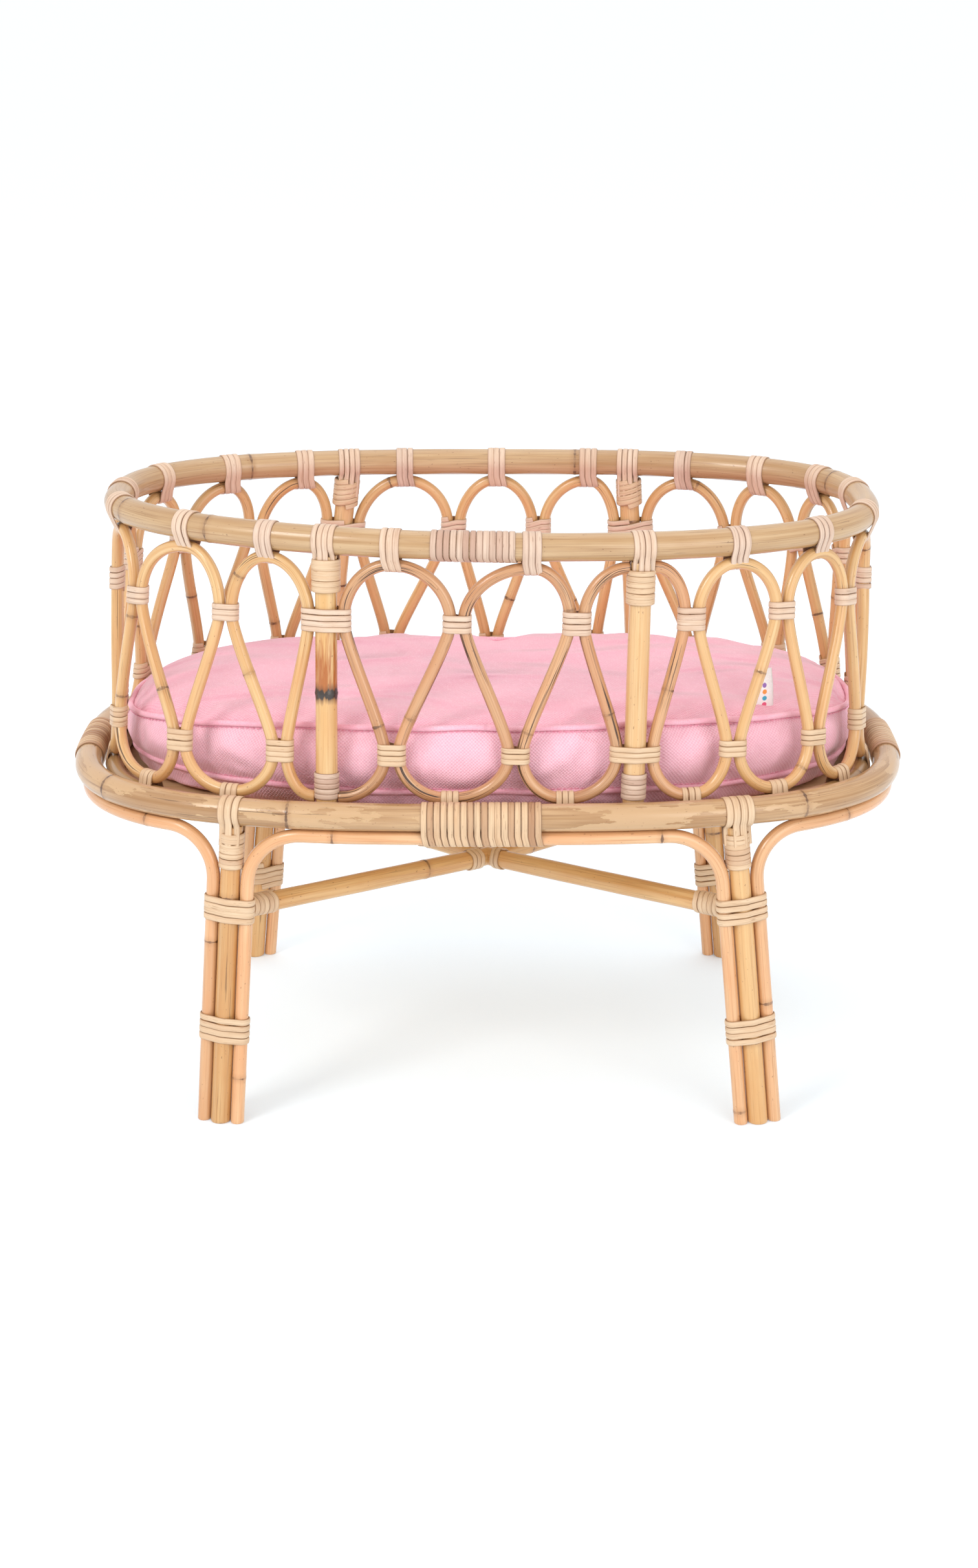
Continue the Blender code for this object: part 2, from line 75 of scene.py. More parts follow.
SKIP = 0.0003                   # gap between poles that touch
FOOT_Z, LOWER_Z, UPPER_Z = BASE_Z + BASE_R + SKIP + CANE_R, 0.2242, 0.3010
NECK, LEAD = 0.013, 0.0012      # straight lengths of a loop at its ties and at its ends
WALL_LEAN = 0.013               # turns by which the weave's feet are drawn to the sides
NEAR_TURN, NEAR_Z = 0.002, 0.004    # steps either way over which directions are measured

LOOPS = (       # turns of each loop: its arch's top, its neck, its tie and foot with the next
    (0.8395, 0.8370, 0.8630, 0.8665), (0.8865, 0.8930, 0.9175, 0.9175),
    (0.9510, 0.9510, 0.9840, 0.9810), (1.0205, 1.0145, 1.0440, 1.0405),
    (1.0757, 1.0757, 1.1025, 1.1055), (1.1250, 1.1270, 1.1525, 1.1520),
    (1.1740, 1.1740, 1.1985, 1.1935), (1.2220, 1.2160, 1.2430, 1.2330),
    (1.2745, 1.2745, 1.2925, 1.2925), (1.3105, 1.3105, 1.3295, 1.3295),
    (1.3500, 1.3500, 1.3695, 1.3695), (1.3935, 1.3935, 1.4250, 1.4250),
    (1.4475, 1.4475, 1.4755, 1.4755), (1.4995, 1.4995, 1.5220, 1.5220),
    (1.5515, 1.5515, 1.5830, 1.5830), (1.6085, 1.6085, 1.6320, 1.6320),
    (1.6515, 1.6515, 1.6760, 1.6760), (1.6965, 1.6965, 1.7190, 1.7190),
    (1.7420, 1.7420, 1.7610, 1.7610), (1.7810, 1.7810, 1.8030, 1.8180),
)
POST_TURNS = {"front_left": 0.9175, "front_right": 1.0757, "back_right": 1.4250,
              "back_left": 1.5830}
LEG_TURNS = {"front_left": 0.888, "front_right": 0.110, "back_right": 0.390,
             "back_left": 0.610}
BRACKETS = {"front": ("front_left", "front_right"), "right": ("front_right", "back_right"),
            "back": ("back_right", "back_left"), "left": ("back_left", "front_left")}
MOUNTS = {m["name"][5:]: np.array(m["pos_m"]) for m in frame["record"]["mounts"]}


# ------ curves
def unit(v):
    v = np.asarray(v, float)
    return v / np.linalg.norm(v, axis=-1, keepdims=True)


def superellipse(half, squareness, centre=(0.0, 0.0), count=1440):
    t = np.linspace(-np.pi / 2, 1.5 * np.pi, count, endpoint=False)
    c, s = np.cos(t), np.sin(t)
    fr, br, bl, fl = squareness
    e = np.where(c >= 0, np.where(s < 0, fr, br), np.where(s >= 0, bl, fl))
    return np.stack([half[0] * np.sign(c) * abs(c) ** (2 / e) + centre[0],
                     half[1] * np.sign(s) * abs(s) ** (2 / e) + centre[1]], 1)


def inset(points, distance):
    t = unit(np.roll(points, -1, 0) - np.roll(points, 1, 0))
    return points - np.stack([t[:, 1], -t[:, 0]], 1) * distance


class Oval:
    """Closed plane curve read by its turn: the fraction of its length from the front."""

    def __init__(self, points):
        self.points = np.vstack([points, points[:1]])
        steps = np.linalg.norm(np.diff(self.points, axis=0), axis=1)
        self.lengths = np.concatenate([[0], np.cumsum(steps)])
        self.perimeter = self.lengths[-1]

    def at(self, turn):
        d = np.mod(turn, 1.0) * self.perimeter
        return np.stack([np.interp(d, self.lengths, self.points[:, 0]),
                         np.interp(d, self.lengths, self.points[:, 1])], -1)

    def tangent(self, turn):
        turn = np.asarray(turn, float)
        return unit(self.at(turn + NEAR_TURN) - self.at(turn - NEAR_TURN))

    def normal(self, turn):
        t = self.tangent(turn)
        return np.stack([t[..., 1], -t[..., 0]], -1)


ring_points = superellipse(RING_HALF, (2.91, 2.91, 2.91, 2.91))
rim_points = superellipse(RIM_HALF, (2.2, 2.7, 2.7, 2.0), RIM_CENTRE)
RING = Oval(ring_points)
RIM = Oval(rim_points)
BASE = Oval(inset(ring_points, BASE_INSET))


def rim_height(turn):
    p = (RIM.at(turn) - RIM_CENTRE) / RIM_HALF
    return RIM_Z - RIM_LEFT_RISE * p[..., 0] + RIM_CORNER_RISE * p[..., 0] * p[..., 1]


def lift(points, z):
    points = np.asarray(points, float)
    return np.concatenate([points, np.broadcast_to(z, points.shape[:-1])[..., None]], -1)


def rim_at(turn):
    return lift(RIM.at(turn), rim_height(turn))


def wall(turn, z):
    turn, z = np.asarray(turn, float), np.asarray(z, float)
    low = BASE.at(turn - WALL_LEAN * np.sin(2 * np.pi * turn))
    share = ((z - BASE_Z) / (RIM_Z - BASE_Z))[..., None]
    return lift(low + (RIM.at(turn) - low) * share, z)


def beside(turn, z, distance):
    """Turn of the place on the wall a distance to the right of another."""
    step = wall(turn + NEAR_TURN, z) - wall(turn - NEAR_TURN, z)
    return turn + distance / (np.linalg.norm(step) / (2 * NEAR_TURN))


def wall_axes(turn, z):
    """Across the wall's face, outwards and up, at a place on the wall."""
    across = unit(wall(turn + NEAR_TURN, z) - wall(turn - NEAR_TURN, z))
    up = unit(wall(turn, z + NEAR_Z) - wall(turn, z - NEAR_Z))
    return across, unit(np.cross(across, up)), up


def bezier(p0, p1, p2, p3, count):
    t = np.linspace(0, 1, count + 1)[1:, None]
    p0, p1, p2, p3 = (np.asarray(p, float) for p in (p0, p1, p2, p3))
    return p0 * (1 - t) ** 3 + 3 * p1 * t * (1 - t) ** 2 + 3 * p2 * t * t * (1 - t) + p3 * t ** 3


def along(path, distances, closed=False):
    """Points of a polyline at distances from its start."""
    path = np.vstack([path, path[:1]]) if closed else np.asarray(path, float)
    s = np.concatenate([[0], np.cumsum(np.linalg.norm(np.diff(path, axis=0), axis=1))])
    d = np.mod(distances, s[-1]) if closed else distances
    return np.stack([np.interp(d, s, path[:, k]) for k in range(3)], -1)


def length_of(path, closed=False):
    path = np.vstack([path, path[:1]]) if closed else np.asarray(path, float)
    return np.linalg.norm(np.diff(path, axis=0), axis=1).sum()


def smooth_path(path, times=2):
    path = np.array(path, float)
    for _ in range(times):
        path[1:-1] = path[1:-1] * 0.5 + (path[:-2] + path[2:]) * 0.25
    return path


def frames_along(path, up, closed=False):
    """Tangents, ups and sides of a path; up is the direction carried along it."""
    if closed:
        tangent = unit(np.roll(path, -1, 0) - np.roll(path, 1, 0))
        ups = np.broadcast_to(np.asarray(up, float), path.shape)
        ups = unit(ups - tangent * (ups * tangent).sum(1, keepdims=True))
        return tangent, ups, np.cross(tangent, ups)
    tangent = unit(np.gradient(path, axis=0))
    ups, u = [], np.asarray(up, float)
    for t in tangent:
        u = u - t * u.dot(t)
        u = u / np.linalg.norm(u)
        ups.append(u)
    ups = np.array(ups)
    return tangent, ups, np.cross(tangent, ups)


# ------ meshes
NODE_REACH, NODE_SPREAD = 0.0011, 0.004     # a node's ridge, and the swelling round it
NODE_FAR = 0.02                             # no node is counted beyond this
NODE_STEPS = (-.003, -.0014, -.0007, -.0003, 0, .0003, .0007, .0014, .003)
TRIM_DEEP, TRIM = 0.0002, 0.0007            # rounding of a cut end
LEVEL_REACH = 0.0009                        # how near an end is cut level with the ground
PEEL_SECTION = np.array([(-1, 0), (-1, .5), (-.82, .86), (-.4, 1), (.4, 1), (.82, .86), (1, .5),
                         (1, 0)])
CROSS_OVER = 0.3        # share of each turn of a binding that steps along to the next


class Piece:
    """Collects tubes and strips of one visible piece, with what its material reads:
    grain, a place in the pole's own straight frame; tone, a shift of its colour;
    knot, the distance along the pole to its nearest node."""

    def __init__(self):
        self.verts, self.faces, self.count = [], [], 0
        self.grain, self.tone, self.knot = [], [], []

    def add(self, verts, faces, grain, tone, knot):
        self.verts.append(verts)
        self.grain.append(grain)
        self.tone.append(np.broadcast_to(tone, len(verts)))
        self.knot.append(np.broadcast_to(knot, len(verts)))
        self.faces += [tuple(int(i) + self.count for i in f) for f in faces]
        self.count += len(verts)

    def loft(self, rings, closed, grain, tone, knot):
        rows, sides = rings.shape[:2]
        index = np.arange(rows * sides).reshape(rows, sides)
        nxt = np.roll(index, -1, 0) if closed else index[1:]
        cur = index if closed else index[:-1]
        quads = np.stack([cur, np.roll(cur, -1, 1), np.roll(nxt, -1, 1), nxt], -1).reshape(-1, 4)
        faces = quads.tolist()
        if not closed:
            faces += [index[0][::-1].tolist(), index[-1].tolist()]
        self.add(rings.reshape(-1, 3), faces, grain.reshape(-1, 3), tone, knot)

    def tube(self, path, radius, sides=20, up=(0, 0, 1), closed=False, step=0.0022, knots=(),
             swell=0.035, tone=0.0, level=False, wobble=0.012, signed=False):
        """A pole along a path, a little uneven, with raised nodes and trimmed ends.
        With signed, the material can tell below its first node from above it."""
        total = length_of(path, closed)
        s = np.linspace(0, total, max(8, int(total / step)) + 1)
        extra = [k + d for k in knots for d in NODE_STEPS]
        if not closed:
            extra += [TRIM_DEEP, TRIM, total - TRIM, total - TRIM_DEEP]
        s = np.unique(np.round(np.concatenate([s, [e for e in extra if 0 < e < total]]), 6))
        if closed:
            s = s[:-1]
        centre = along(path, s, closed)
        seed = rng.uniform(0, 50)
        wave = (np.sin(s * 97 + seed) + np.sin(s * 41 + seed * 2.3)) * 0.5
        r = radius * (1 + wobble * wave)
        nearest = np.min([abs(s - k) for k in knots] + [np.full(len(s), NODE_FAR)], axis=0)
        r = r * (1 + swell * np.exp(-(nearest / NODE_REACH) ** 2) + swell * 0.4
                 * np.exp(-(nearest / NODE_SPREAD) ** 2))
        if not closed:
            end = np.minimum(s, total - s)
            r = r * np.interp(end, [0, TRIM_DEEP, TRIM], [0.86, 0.95, 1.0])
        t, u, v = frames_along(centre, up, closed)
        a = np.linspace(0, 2 * np.pi, sides, endpoint=False)
        ca, sa = np.cos(a), np.sin(a)
        offsets = (u[:, None] * ca[None, :, None] + v[:, None] * sa[None, :, None])
        offsets = offsets * r[:, None, None]
        if level:
            for k in np.nonzero(np.minimum(s, total - s) < LEVEL_REACH)[0]:
                offsets[k] -= t[k] * (offsets[k][:, 2:3] / t[k][2])
        grain = np.stack(np.broadcast_arrays(radius * ca[None, :], radius * sa[None, :],
                                             s[:, None]), -1) + rng.uniform(0, 3, 3)
        internode = np.zeros(len(s))
        shades = rng.uniform(-0.35, 0.35, len(knots) + 1)
        for i in range(len(knots) + 1):
            lo = sorted(knots)[i - 1] if i else -1
            internode = np.where(s > lo, shades[i], internode)
        tones = np.repeat(np.clip(tone + internode, -1, 1), sides)
        marks = s - knots[0] if signed else nearest
        self.loft(centre[:, None] + offsets, closed, grain, tones, np.repeat(marks, sides))
        return self

    def strip(self, path, normal, across, width, thick, tone=0.0):
        """A flat peel laid along a path; its underside lies on the path."""
        section = PEEL_SECTION
        width = np.broadcast_to(width, len(path))[:, None, None]
        thick = np.broadcast_to(thick, len(path))[:, None, None]
        rings = (path[:, None] + across[:, None] * section[None, :, :1] * width / 2
                 + normal[:, None] * section[None, :, 1:] * thick)
        s = np.concatenate([[0], np.cumsum(np.linalg.norm(np.diff(path, axis=0), axis=1))])
        grain = np.stack(np.broadcast_arrays(section[None, :, 0] * 0.0017,
                                             section[None, :, 1] * 0.001, s[:, None]), -1)
        grain = grain + rng.uniform(0, 3, 3)
        tone = np.repeat(np.broadcast_to(tone, len(path)), len(section))
        self.loft(rings, False, grain, tone, np.tile(abs(section[:, 0]), len(path)))
        return self

    def wrap(self, axis, up, circles, turns, width, thick=0.00085, start=np.pi, margin=0.00008,
             per_turn=44, spread=0.16, drift=0.00018, shade=0.0):
        """A peel wound round poles. circles are (up, side, radius) round the axis."""
        outline, normals = hull(circles, margin, per_turn, start)
        total = length_of(axis)
        steps = np.arange(turns * per_turn + 1)
        wound, number = steps / per_turn, steps // per_turn
        phase, late = wound % 1.0, wound % 1.0 > 1 - CROSS_OVER / 2
        ease = np.where(phase < CROSS_OVER / 2, 0.5 + phase / CROSS_OVER,
                        np.where(late, (phase - 1) / CROSS_OVER + 0.5, 1.0))
        place = np.where(late, number + 1 + ease, number + ease) * total / (turns + 1)
        jitter = rng.normal(0, 1, turns + 3)
        place = place + np.interp(wound, np.arange(turns + 3) - 0.5, jitter) * drift
        centre = along(axis, np.clip(place, 0, total))
        t, u, v = frames_along(along(axis, np.linspace(0, total, 40)), up)
        pick = np.clip((place / total * 39).round().astype(int), 0, 39)
        o, n = outline[steps % per_turn], normals[steps % per_turn]
        path = centre + u[pick] * o[:, :1] + v[pick] * o[:, 1:]
        normal = unit(u[pick] * n[:, :1] + v[pick] * n[:, 1:])
        run = unit(np.gradient(path, axis=0))
        across = unit(np.cross(run, normal))
        widths = np.interp(wound, np.arange(turns + 2),
                           rng.uniform(0.9, 1.06, turns + 2)) * width
        tone = rng.uniform(-1, 1, turns + 2)[number] * spread * 4 + shade
        self.strip(path, normal, across, widths, thick, np.clip(tone, -1, 1))
        return self

    def make(self, name, material, slot, body, *replaced, sharp=40):
        mesh = bpy.data.meshes.new(name)
        mesh.from_pydata(np.concatenate(self.verts).tolist(), [], self.faces)
        for key, data, kind in (("grain", np.concatenate(self.grain), "FLOAT_VECTOR"),
                                ("tone", np.concatenate(self.tone), "FLOAT"),
                                ("knot", np.concatenate(self.knot), "FLOAT")):
            layer = mesh.attributes.new(key, kind, "POINT")
            layer.data.foreach_set("vector" if kind == "FLOAT_VECTOR" else "value",
                                   np.ascontiguousarray(data, np.float32).ravel())
        mesh.shade_smooth()
        mesh.set_sharp_from_angle(angle=math.radians(sharp))
        mesh.materials.append(material)
        return add_piece(bpy.data.objects.new(name, mesh), slot, body, *replaced)


def add_piece(obj, slot, body, *replaced):
    bpy.context.scene.collection.objects.link(obj)
    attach(obj, body)
    if replaced:
        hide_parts(*replaced)
    return obj


def hull(circles, margin, count, start=0.0):
    """Evenly spaced points, and outward normals, of the taut outline round circles."""
    a = np.linspace(0, 2 * np.pi, 1440, endpoint=False) + start
    d = np.stack([np.cos(a), np.sin(a)], 1)
    c = np.array(circles, float)
    support = d @ c[:, :2].T + c[:, 2]
    k = support.argmax(1)
    points = c[k, :2] + (c[k, 2:] + margin) * d
    closed = np.vstack([points, points[:1]])
    s = np.concatenate([[0], np.cumsum(np.linalg.norm(np.diff(closed, axis=0), axis=1))])
    want = np.linspace(0, s[-1], count, endpoint=False)
    normals = np.vstack([d, d[:1]])
    out = np.stack([np.interp(want, s, closed[:, i]) for i in (0, 1)], 1)
    nor = unit(np.stack([np.interp(want, s, normals[:, i]) for i in (0, 1)], 1))
    return out, nor


# ------ materials
class Nodes:
    """Short names for the nodes that these materials use."""

    def __init__(self, name):
        self.material = bpy.data.materials.new(name)
        self.material.use_nodes = True
        self.tree = self.material.node_tree
        self.shader = self.tree.nodes["Principled BSDF"]

    def put(self, socket, value):
        if isinstance(value, bpy.types.NodeSocket):
            self.tree.links.new(value, socket)
        else:
            socket.default_value = value

    def node(self, kind, **settings):
        node = self.tree.nodes.new(kind)
        for key, value in settings.items():
            setattr(node, key, value)
        return node

    def attribute(self, name, vector=True):
        node = self.node("ShaderNodeAttribute", attribute_name=name)
        return node.outputs["Vector" if vector else "Fac"]

    def split(self, vector):
        node = self.node("ShaderNodeSeparateXYZ")
        self.put(node.inputs[0], vector)
        return node.outputs

    def noise(self, vector, scale, detail=2.0, roughness=0.5, distortion=0.0):
        scaled = self.node("ShaderNodeVectorMath", operation="MULTIPLY")
        self.put(scaled.inputs[0], vector)
        scaled.inputs[1].default_value = scale
        node = self.node("ShaderNodeTexNoise")
        for key, value in (("Vector", scaled.outputs[0]), ("Scale", 1.0), ("Detail", detail),
                           ("Roughness", roughness), ("Distortion", distortion)):
            self.put(node.inputs[key], value)
        return node.outputs["Fac"]

    def math(self, operation, a, b=0.0):
        node = self.node("ShaderNodeMath", operation=operation)
        self.put(node.inputs[0], a)
        self.put(node.inputs[1], b)
        return node.outputs[0]

    def times(self, a, b):
        return self.math("MULTIPLY", a, b)

    def plus(self, a, b):
        return self.math("ADD", a, b)

    def minus(self, a, b):
        return self.math("SUBTRACT", a, b)

    def fit(self, value, low, high, to_low=0.0, to_high=1.0, smooth=False):
        node = self.node("ShaderNodeMapRange")
        if smooth:
            node.interpolation_type = "SMOOTHSTEP"
        for socket, number in zip(node.inputs[:5], (value, low, high, to_low, to_high)):
            self.put(socket, number)
        return node.outputs[0]

    def mix(self, factor, a, b, blend="MIX"):
        node = self.node("ShaderNodeMix", data_type="RGBA", blend_type=blend)
        self.put(node.inputs[0], factor)
        self.put(node.inputs[6], (*a, 1) if isinstance(a, tuple) else a)
        self.put(node.inputs[7], (*b, 1) if isinstance(b, tuple) else b)
        return node.outputs[2]

    def bump(self, height, distance, strength=1.0, normal=None):
        node = self.node("ShaderNodeBump")
        node.inputs["Strength"].default_value = strength
        node.inputs["Distance"].default_value = distance
        self.put(node.inputs["Height"], height)
        if normal is not None:
            self.put(node.inputs["Normal"], normal)
        return node.outputs[0]

    def set(self, **sockets):
        for key, value in sockets.items():
            self.put(self.shader.inputs[key.replace("_", " ")], value)
        return self.material


def srgb(r, g, b):
    """Linear colour of an 8-bit screen colour."""
    return tuple(((c / 255 + 0.055) / 1.055) ** 2.4 if c > 10 else c / 3294.6 for c in (r, g, b))


CRACK, PORE, NODE_HALO, NODE_LINE = (srgb(70, 42, 22), srgb(126, 78, 40), srgb(176, 122, 72),
                                     srgb(98, 60, 30))
SKIN_LIP, BURN, CHAR, BLACK = (srgb(252, 222, 172), srgb(186, 104, 24), srgb(112, 66, 26),
                               srgb(44, 36, 30))


def pole_material(name, tint, base, dark, light, warm, cracks=0.5, crack_at=0.655,
                  crack_zone=0.47, skin=0.0, coat=0.45, stain=0.0):
    """Round rattan: long fibres, slow blotches, dark cracks along it, pores and nodes.
    With skin, its surface has come away in patches; with stain, it is burnt above a node."""
    base, dark, light, warm = (srgb(*c) for c in (base, dark, light, warm))
    m = Nodes(name)
    grain, tone = m.attribute("grain"), m.attribute("tone", False)
    knot = m.attribute("knot", False)
    fibre = m.noise(grain, (1500, 1500, 26), 3)
    streak = m.noise(grain, (420, 420, 9), 3)
    blotch = m.noise(grain, (60, 60, 22), 3)
    color = m.mix(m.fit(streak, 0.34, 0.66), base, light)
    color = m.mix(m.fit(fibre, 0.52, 0.72, 0, 0.55), color, dark)
    color = m.mix(m.fit(blotch, 0.42, 0.72, 0, 0.55), color, warm)
    color = m.mix(m.fit(tone, 0.0, 1.0, 0, 0.45), color, dark)
    color = m.mix(m.fit(tone, 0.0, -1.0, 0, 0.5), color, light)
    height = m.times(fibre, 0.6)
    if skin > 0:
        edge = m.noise(grain, (260, 260, 70), 4, 0.62)
        patch = m.noise(grain, (70, 70, 16), 2)
        where = m.plus(m.times(patch, 0.72), m.times(edge, 0.28))
        peeled = m.fit(where, 0.515, 0.522)
        lip = m.minus(1.0, m.fit(m.math("ABSOLUTE", m.minus(where, 0.518)), 0.0, 0.006))
        color = m.mix(m.times(peeled, skin), color, light)
        color = m.mix(m.times(lip, skin * 0.75), color, SKIN_LIP)
        height = m.plus(height, m.times(peeled, -1.6))
    crack = m.times(m.fit(m.noise(grain, (620, 620, 15), 3, 0.6), crack_at, crack_at + 0.04),
                    m.fit(m.noise(grain, (38, 38, 11), 2), crack_zone, crack_zone + 0.11))
    color = m.mix(m.times(crack, cracks), color, CRACK)
    pores = m.fit(m.noise(grain, (900, 900, 420), 1), 0.735, 0.77)
    color = m.mix(m.times(pores, 0.55), color, PORE)
    wander = m.noise(grain, (330, 330, 4), 3)
    d = m.minus(m.math("ABSOLUTE", knot), m.fit(wander, 0.35, 0.65, 0, 0.0007))
    line = m.fit(d, 0.00010, 0.00055, 1, 0)
    halo = m.fit(d, 0.0, 0.0042, 1, 0, smooth=True)
    depth = m.fit(m.noise(grain, (200, 200, 3), 2), 0.38, 0.62, 0.15, 0.85)
    color = m.mix(m.times(halo, 0.28), color, NODE_HALO)
    color = m.mix(m.times(line, depth), color, NODE_LINE)
    if stain > 0:
        run = m.noise(grain, (300, 300, 30), 3, 0.6)
        reach = m.times(m.fit(knot, 0.004, stain, 1, 0), 0.32)
        burn = m.times(m.fit(m.plus(run, reach), 0.56, 0.78), m.fit(knot, 0.0, 0.002))
        color = m.mix(m.times(burn, 0.92), color, BURN)
        char = m.fit(m.plus(d, m.fit(run, 0.35, 0.65, -0.0014, 0.0014)), 0.0022, 0.0058, 1, 0)
        color = m.mix(m.times(char, 0.7), color, CHAR)
        core = m.fit(m.plus(d, m.fit(run, 0.35, 0.65, -0.0012, 0.0012)), 0.0014, 0.0024, 1, 0)
        color = m.mix(m.times(core, 0.95), color, BLACK)
        height = m.plus(height, m.times(m.times(core, run), 3.0))
    height = m.plus(height, m.times(m.noise(grain, (90, 90, 1500), 2), 0.35))
    height = m.minus(height, m.times(crack, 1.2))
    height = m.minus(height, m.times(line, 1.5))
    rough = m.plus(m.fit(streak, 0.3, 0.7, 0.28, 0.44), m.times(crack, 0.25))
    return m.set(Base_Color=m.mix(1.0, color, tint, "MULTIPLY"), Roughness=rough,
                 Normal=m.bump(height, 0.00016, 0.55), Coat_Weight=coat, Coat_Roughness=0.15,
                 IOR=1.5)


def peel_material(name, base, dark, light, pink):
    """Flat rattan peel: fine lengthwise fibre, each turn a slightly different colour."""
    base, dark, light, pink = (srgb(*c) for c in (base, dark, light, pink))
    m = Nodes(name)
    grain, tone = m.attribute("grain"), m.attribute("tone", False)
    fibre = m.noise(grain, (2600, 900, 40), 3)
    blotch = m.noise(grain, (260, 260, 60), 3)
    color = m.mix(m.fit(blotch, 0.3, 0.7), base, light)
    color = m.mix(m.fit(tone, 0.15, 1.0, 0, 0.75), color, pink)
    color = m.mix(m.fit(tone, -0.25, -1.0, 0, 0.6), color, light)
    color = m.mix(m.fit(fibre, 0.5, 0.75, 0, 0.5), color, dark)
    flecks = m.fit(m.noise(grain, (1500, 900, 160), 2), 0.66, 0.72)
    color = m.mix(m.times(flecks, 0.5), color, dark)
    edge = m.fit(m.attribute("knot", False), 0.74, 1.0, 0, 0.85)
    color = m.mix(m.times(edge, m.fit(blotch, 0.25, 0.75, 0.5, 1.0)), color, dark)
    return m.set(Base_Color=m.mix(1.0, color, PEEL_TINT, "MULTIPLY"),
                 Roughness=m.fit(blotch, 0.3, 0.7, 0.42, 0.6), Coat_Weight=0.12,
                 Coat_Roughness=0.3, IOR=1.45,
                 Normal=m.bump(m.plus(fibre, m.times(blotch, 0.6)), 0.00012, 0.5))


RIM_TINT, RING_TINT = (0.66, 0.60, 0.54), (0.65, 0.57, 0.50)
POST_TINT, CANE_TINT = (0.78, 0.70, 0.66), (0.80, 0.76, 0.70)
LEG_TINT, BRACKET_TINT = (0.77, 0.66, 0.60), (0.80, 0.74, 0.70)
PEEL_TINT = (0.76, 0.72, 0.70)

RIM_MAT = pole_material("rim_wood", RIM_TINT, (214, 176, 128), (158, 114, 68), (236, 204, 160),
                        (206, 158, 104), cracks=0.6)
RING_MAT = pole_material("ring_wood", RING_TINT, (204, 164, 114), (154, 110, 66),
                         (240, 206, 162), (196, 150, 98), cracks=0.6, skin=0.85)
BASE_MAT = pole_material("base_wood", RING_TINT, (206, 168, 112), (150, 108, 62),
                         (230, 196, 144), (200, 150, 96), cracks=0.35)
POST_MAT = pole_material("post_wood", POST_TINT, (238, 198, 138), (196, 146, 84),
                         (248, 218, 166), (236, 184, 118), cracks=0.4)
STAIN_MAT = pole_material("stained_post_wood", POST_TINT, (238, 196, 128), (198, 142, 74),
                          (248, 216, 158), (236, 180, 108), cracks=0.4, stain=0.046)
CANE_MAT = pole_material("cane", CANE_TINT, (228, 178, 118), (170, 116, 62), (244, 206, 152),
                         (228, 160, 98), cracks=0.85, crack_at=0.64)
PINK_MAT = pole_material("pink_cane", CANE_TINT, (216, 160, 114), (146, 94, 56),
                         (234, 186, 142), (222, 150, 104), cracks=0.97, crack_at=0.57,
                         crack_zone=0.40)
LEG_MAT = pole_material("leg_wood", LEG_TINT, (230, 184, 118), (176, 124, 62), (246, 212, 152),
                        (228, 168, 94))
BRACKET_MAT = pole_material("bracket_cane", BRACKET_TINT, (242, 186, 134), (190, 132, 80),
                            (250, 208, 160), (240, 170, 112), coat=0.5)
PEEL_MAT = peel_material("peel", (238, 203, 163), (168, 122, 80), (248, 221, 185),
                         (214, 172, 138))
PALE_PEEL_MAT = peel_material("pale_peel", (240, 208, 178), (166, 122, 92), (248, 224, 200),
                              (218, 178, 152))
BROWN_PEEL_MAT = peel_material("brown_peel", (236, 196, 152), (130, 86, 54), (246, 214, 174),
                               (186, 134, 94))
PINK_PEEL_MAT = peel_material("pink_peel", (234, 204, 180), (146, 104, 80), (246, 222, 200),
                              (206, 166, 144))


def bind(name, axis, up, circles, turns, width, material=PEEL_MAT, nodes=(), **how):
    """A peel binding round poles, along an axis; nodes are the CAD nodes that it stands for."""
    Piece().wrap(axis, up, circles, turns, width, **how).make(name, material, "peel", "stand",
                                                              *nodes)


# ------ rings
RING_STEPS = 720


def ring_pole(name, mat, slot, node, curve, z, radius, sides, places, **look):
    """A closed pole, with nodes at the turns in places."""
    u = np.linspace(0, 1, RING_STEPS, endpoint=False)
    path = lift(curve.at(u), z(u) if callable(z) else z)
    Piece().tube(path, radius, sides, closed=True, knots=[curve.perimeter * k for k in places],
                 **look).make(name, mat, slot, "stand", node)


ring_pole("rim_pole", RIM_MAT, "rim_wood", "top_rim", RIM, rim_height, RIM_R, 32,
          (0.297, 0.455, 0.64, 0.7935, 0.8545), wobble=0.01, swell=0.02)
ring_pole("ring_pole", RING_MAT, "ring_wood", "stand_ring", RING, RING_Z, RING_R, 32,
          (0.141, 0.31, 0.47, 0.655, 0.822, 0.9138), wobble=0.01, swell=0.018)
ring_pole("base_pole", BASE_MAT, "ring_wood", "base_ring", BASE, BASE_Z, BASE_R, 20,
          (0.2, 0.38, 0.56, 0.76))

# ------ posts
POST_KNOTS = {"front_left": [0.0640], "front_right": [], "back_right": [0.03, 0.112],
              "back_left": [0.07]}
for where, turn in POST_TURNS.items():
    ends = np.array([wall(turn, BASE_Z + BASE_R + SKIP),
                     wall(turn, rim_height(turn) - RIM_R - SKIP)])
    mat = STAIN_MAT if where == "front_left" else POST_MAT
    Piece().tube(ends, POST_R, 28, up=Y, knots=POST_KNOTS[where], swell=0.05, level=True,
                 signed=mat is STAIN_MAT).make("wall_post_" + where, mat, "post_wood", "stand",
                                               "post_" + where)


# ------ woven loops
AT_POST = 0.004          # turns from a post within which canes go beside it
PINK_LOOPS = (2, 3, 4)
POST_LOOP_STEPS, LOOP_STEPS = 110, 220


def at_post(turn):
    return min(abs((turn - p + 0.5) % 1.0 - 0.5) for p in POST_TURNS.values()) < AT_POST


def half_spacing(turn):
    """Half the distance between the axes of two canes tied at a turn."""
    return POST_R + SKIP + CANE_R if at_post(turn) else CANE_R + SKIP / 2


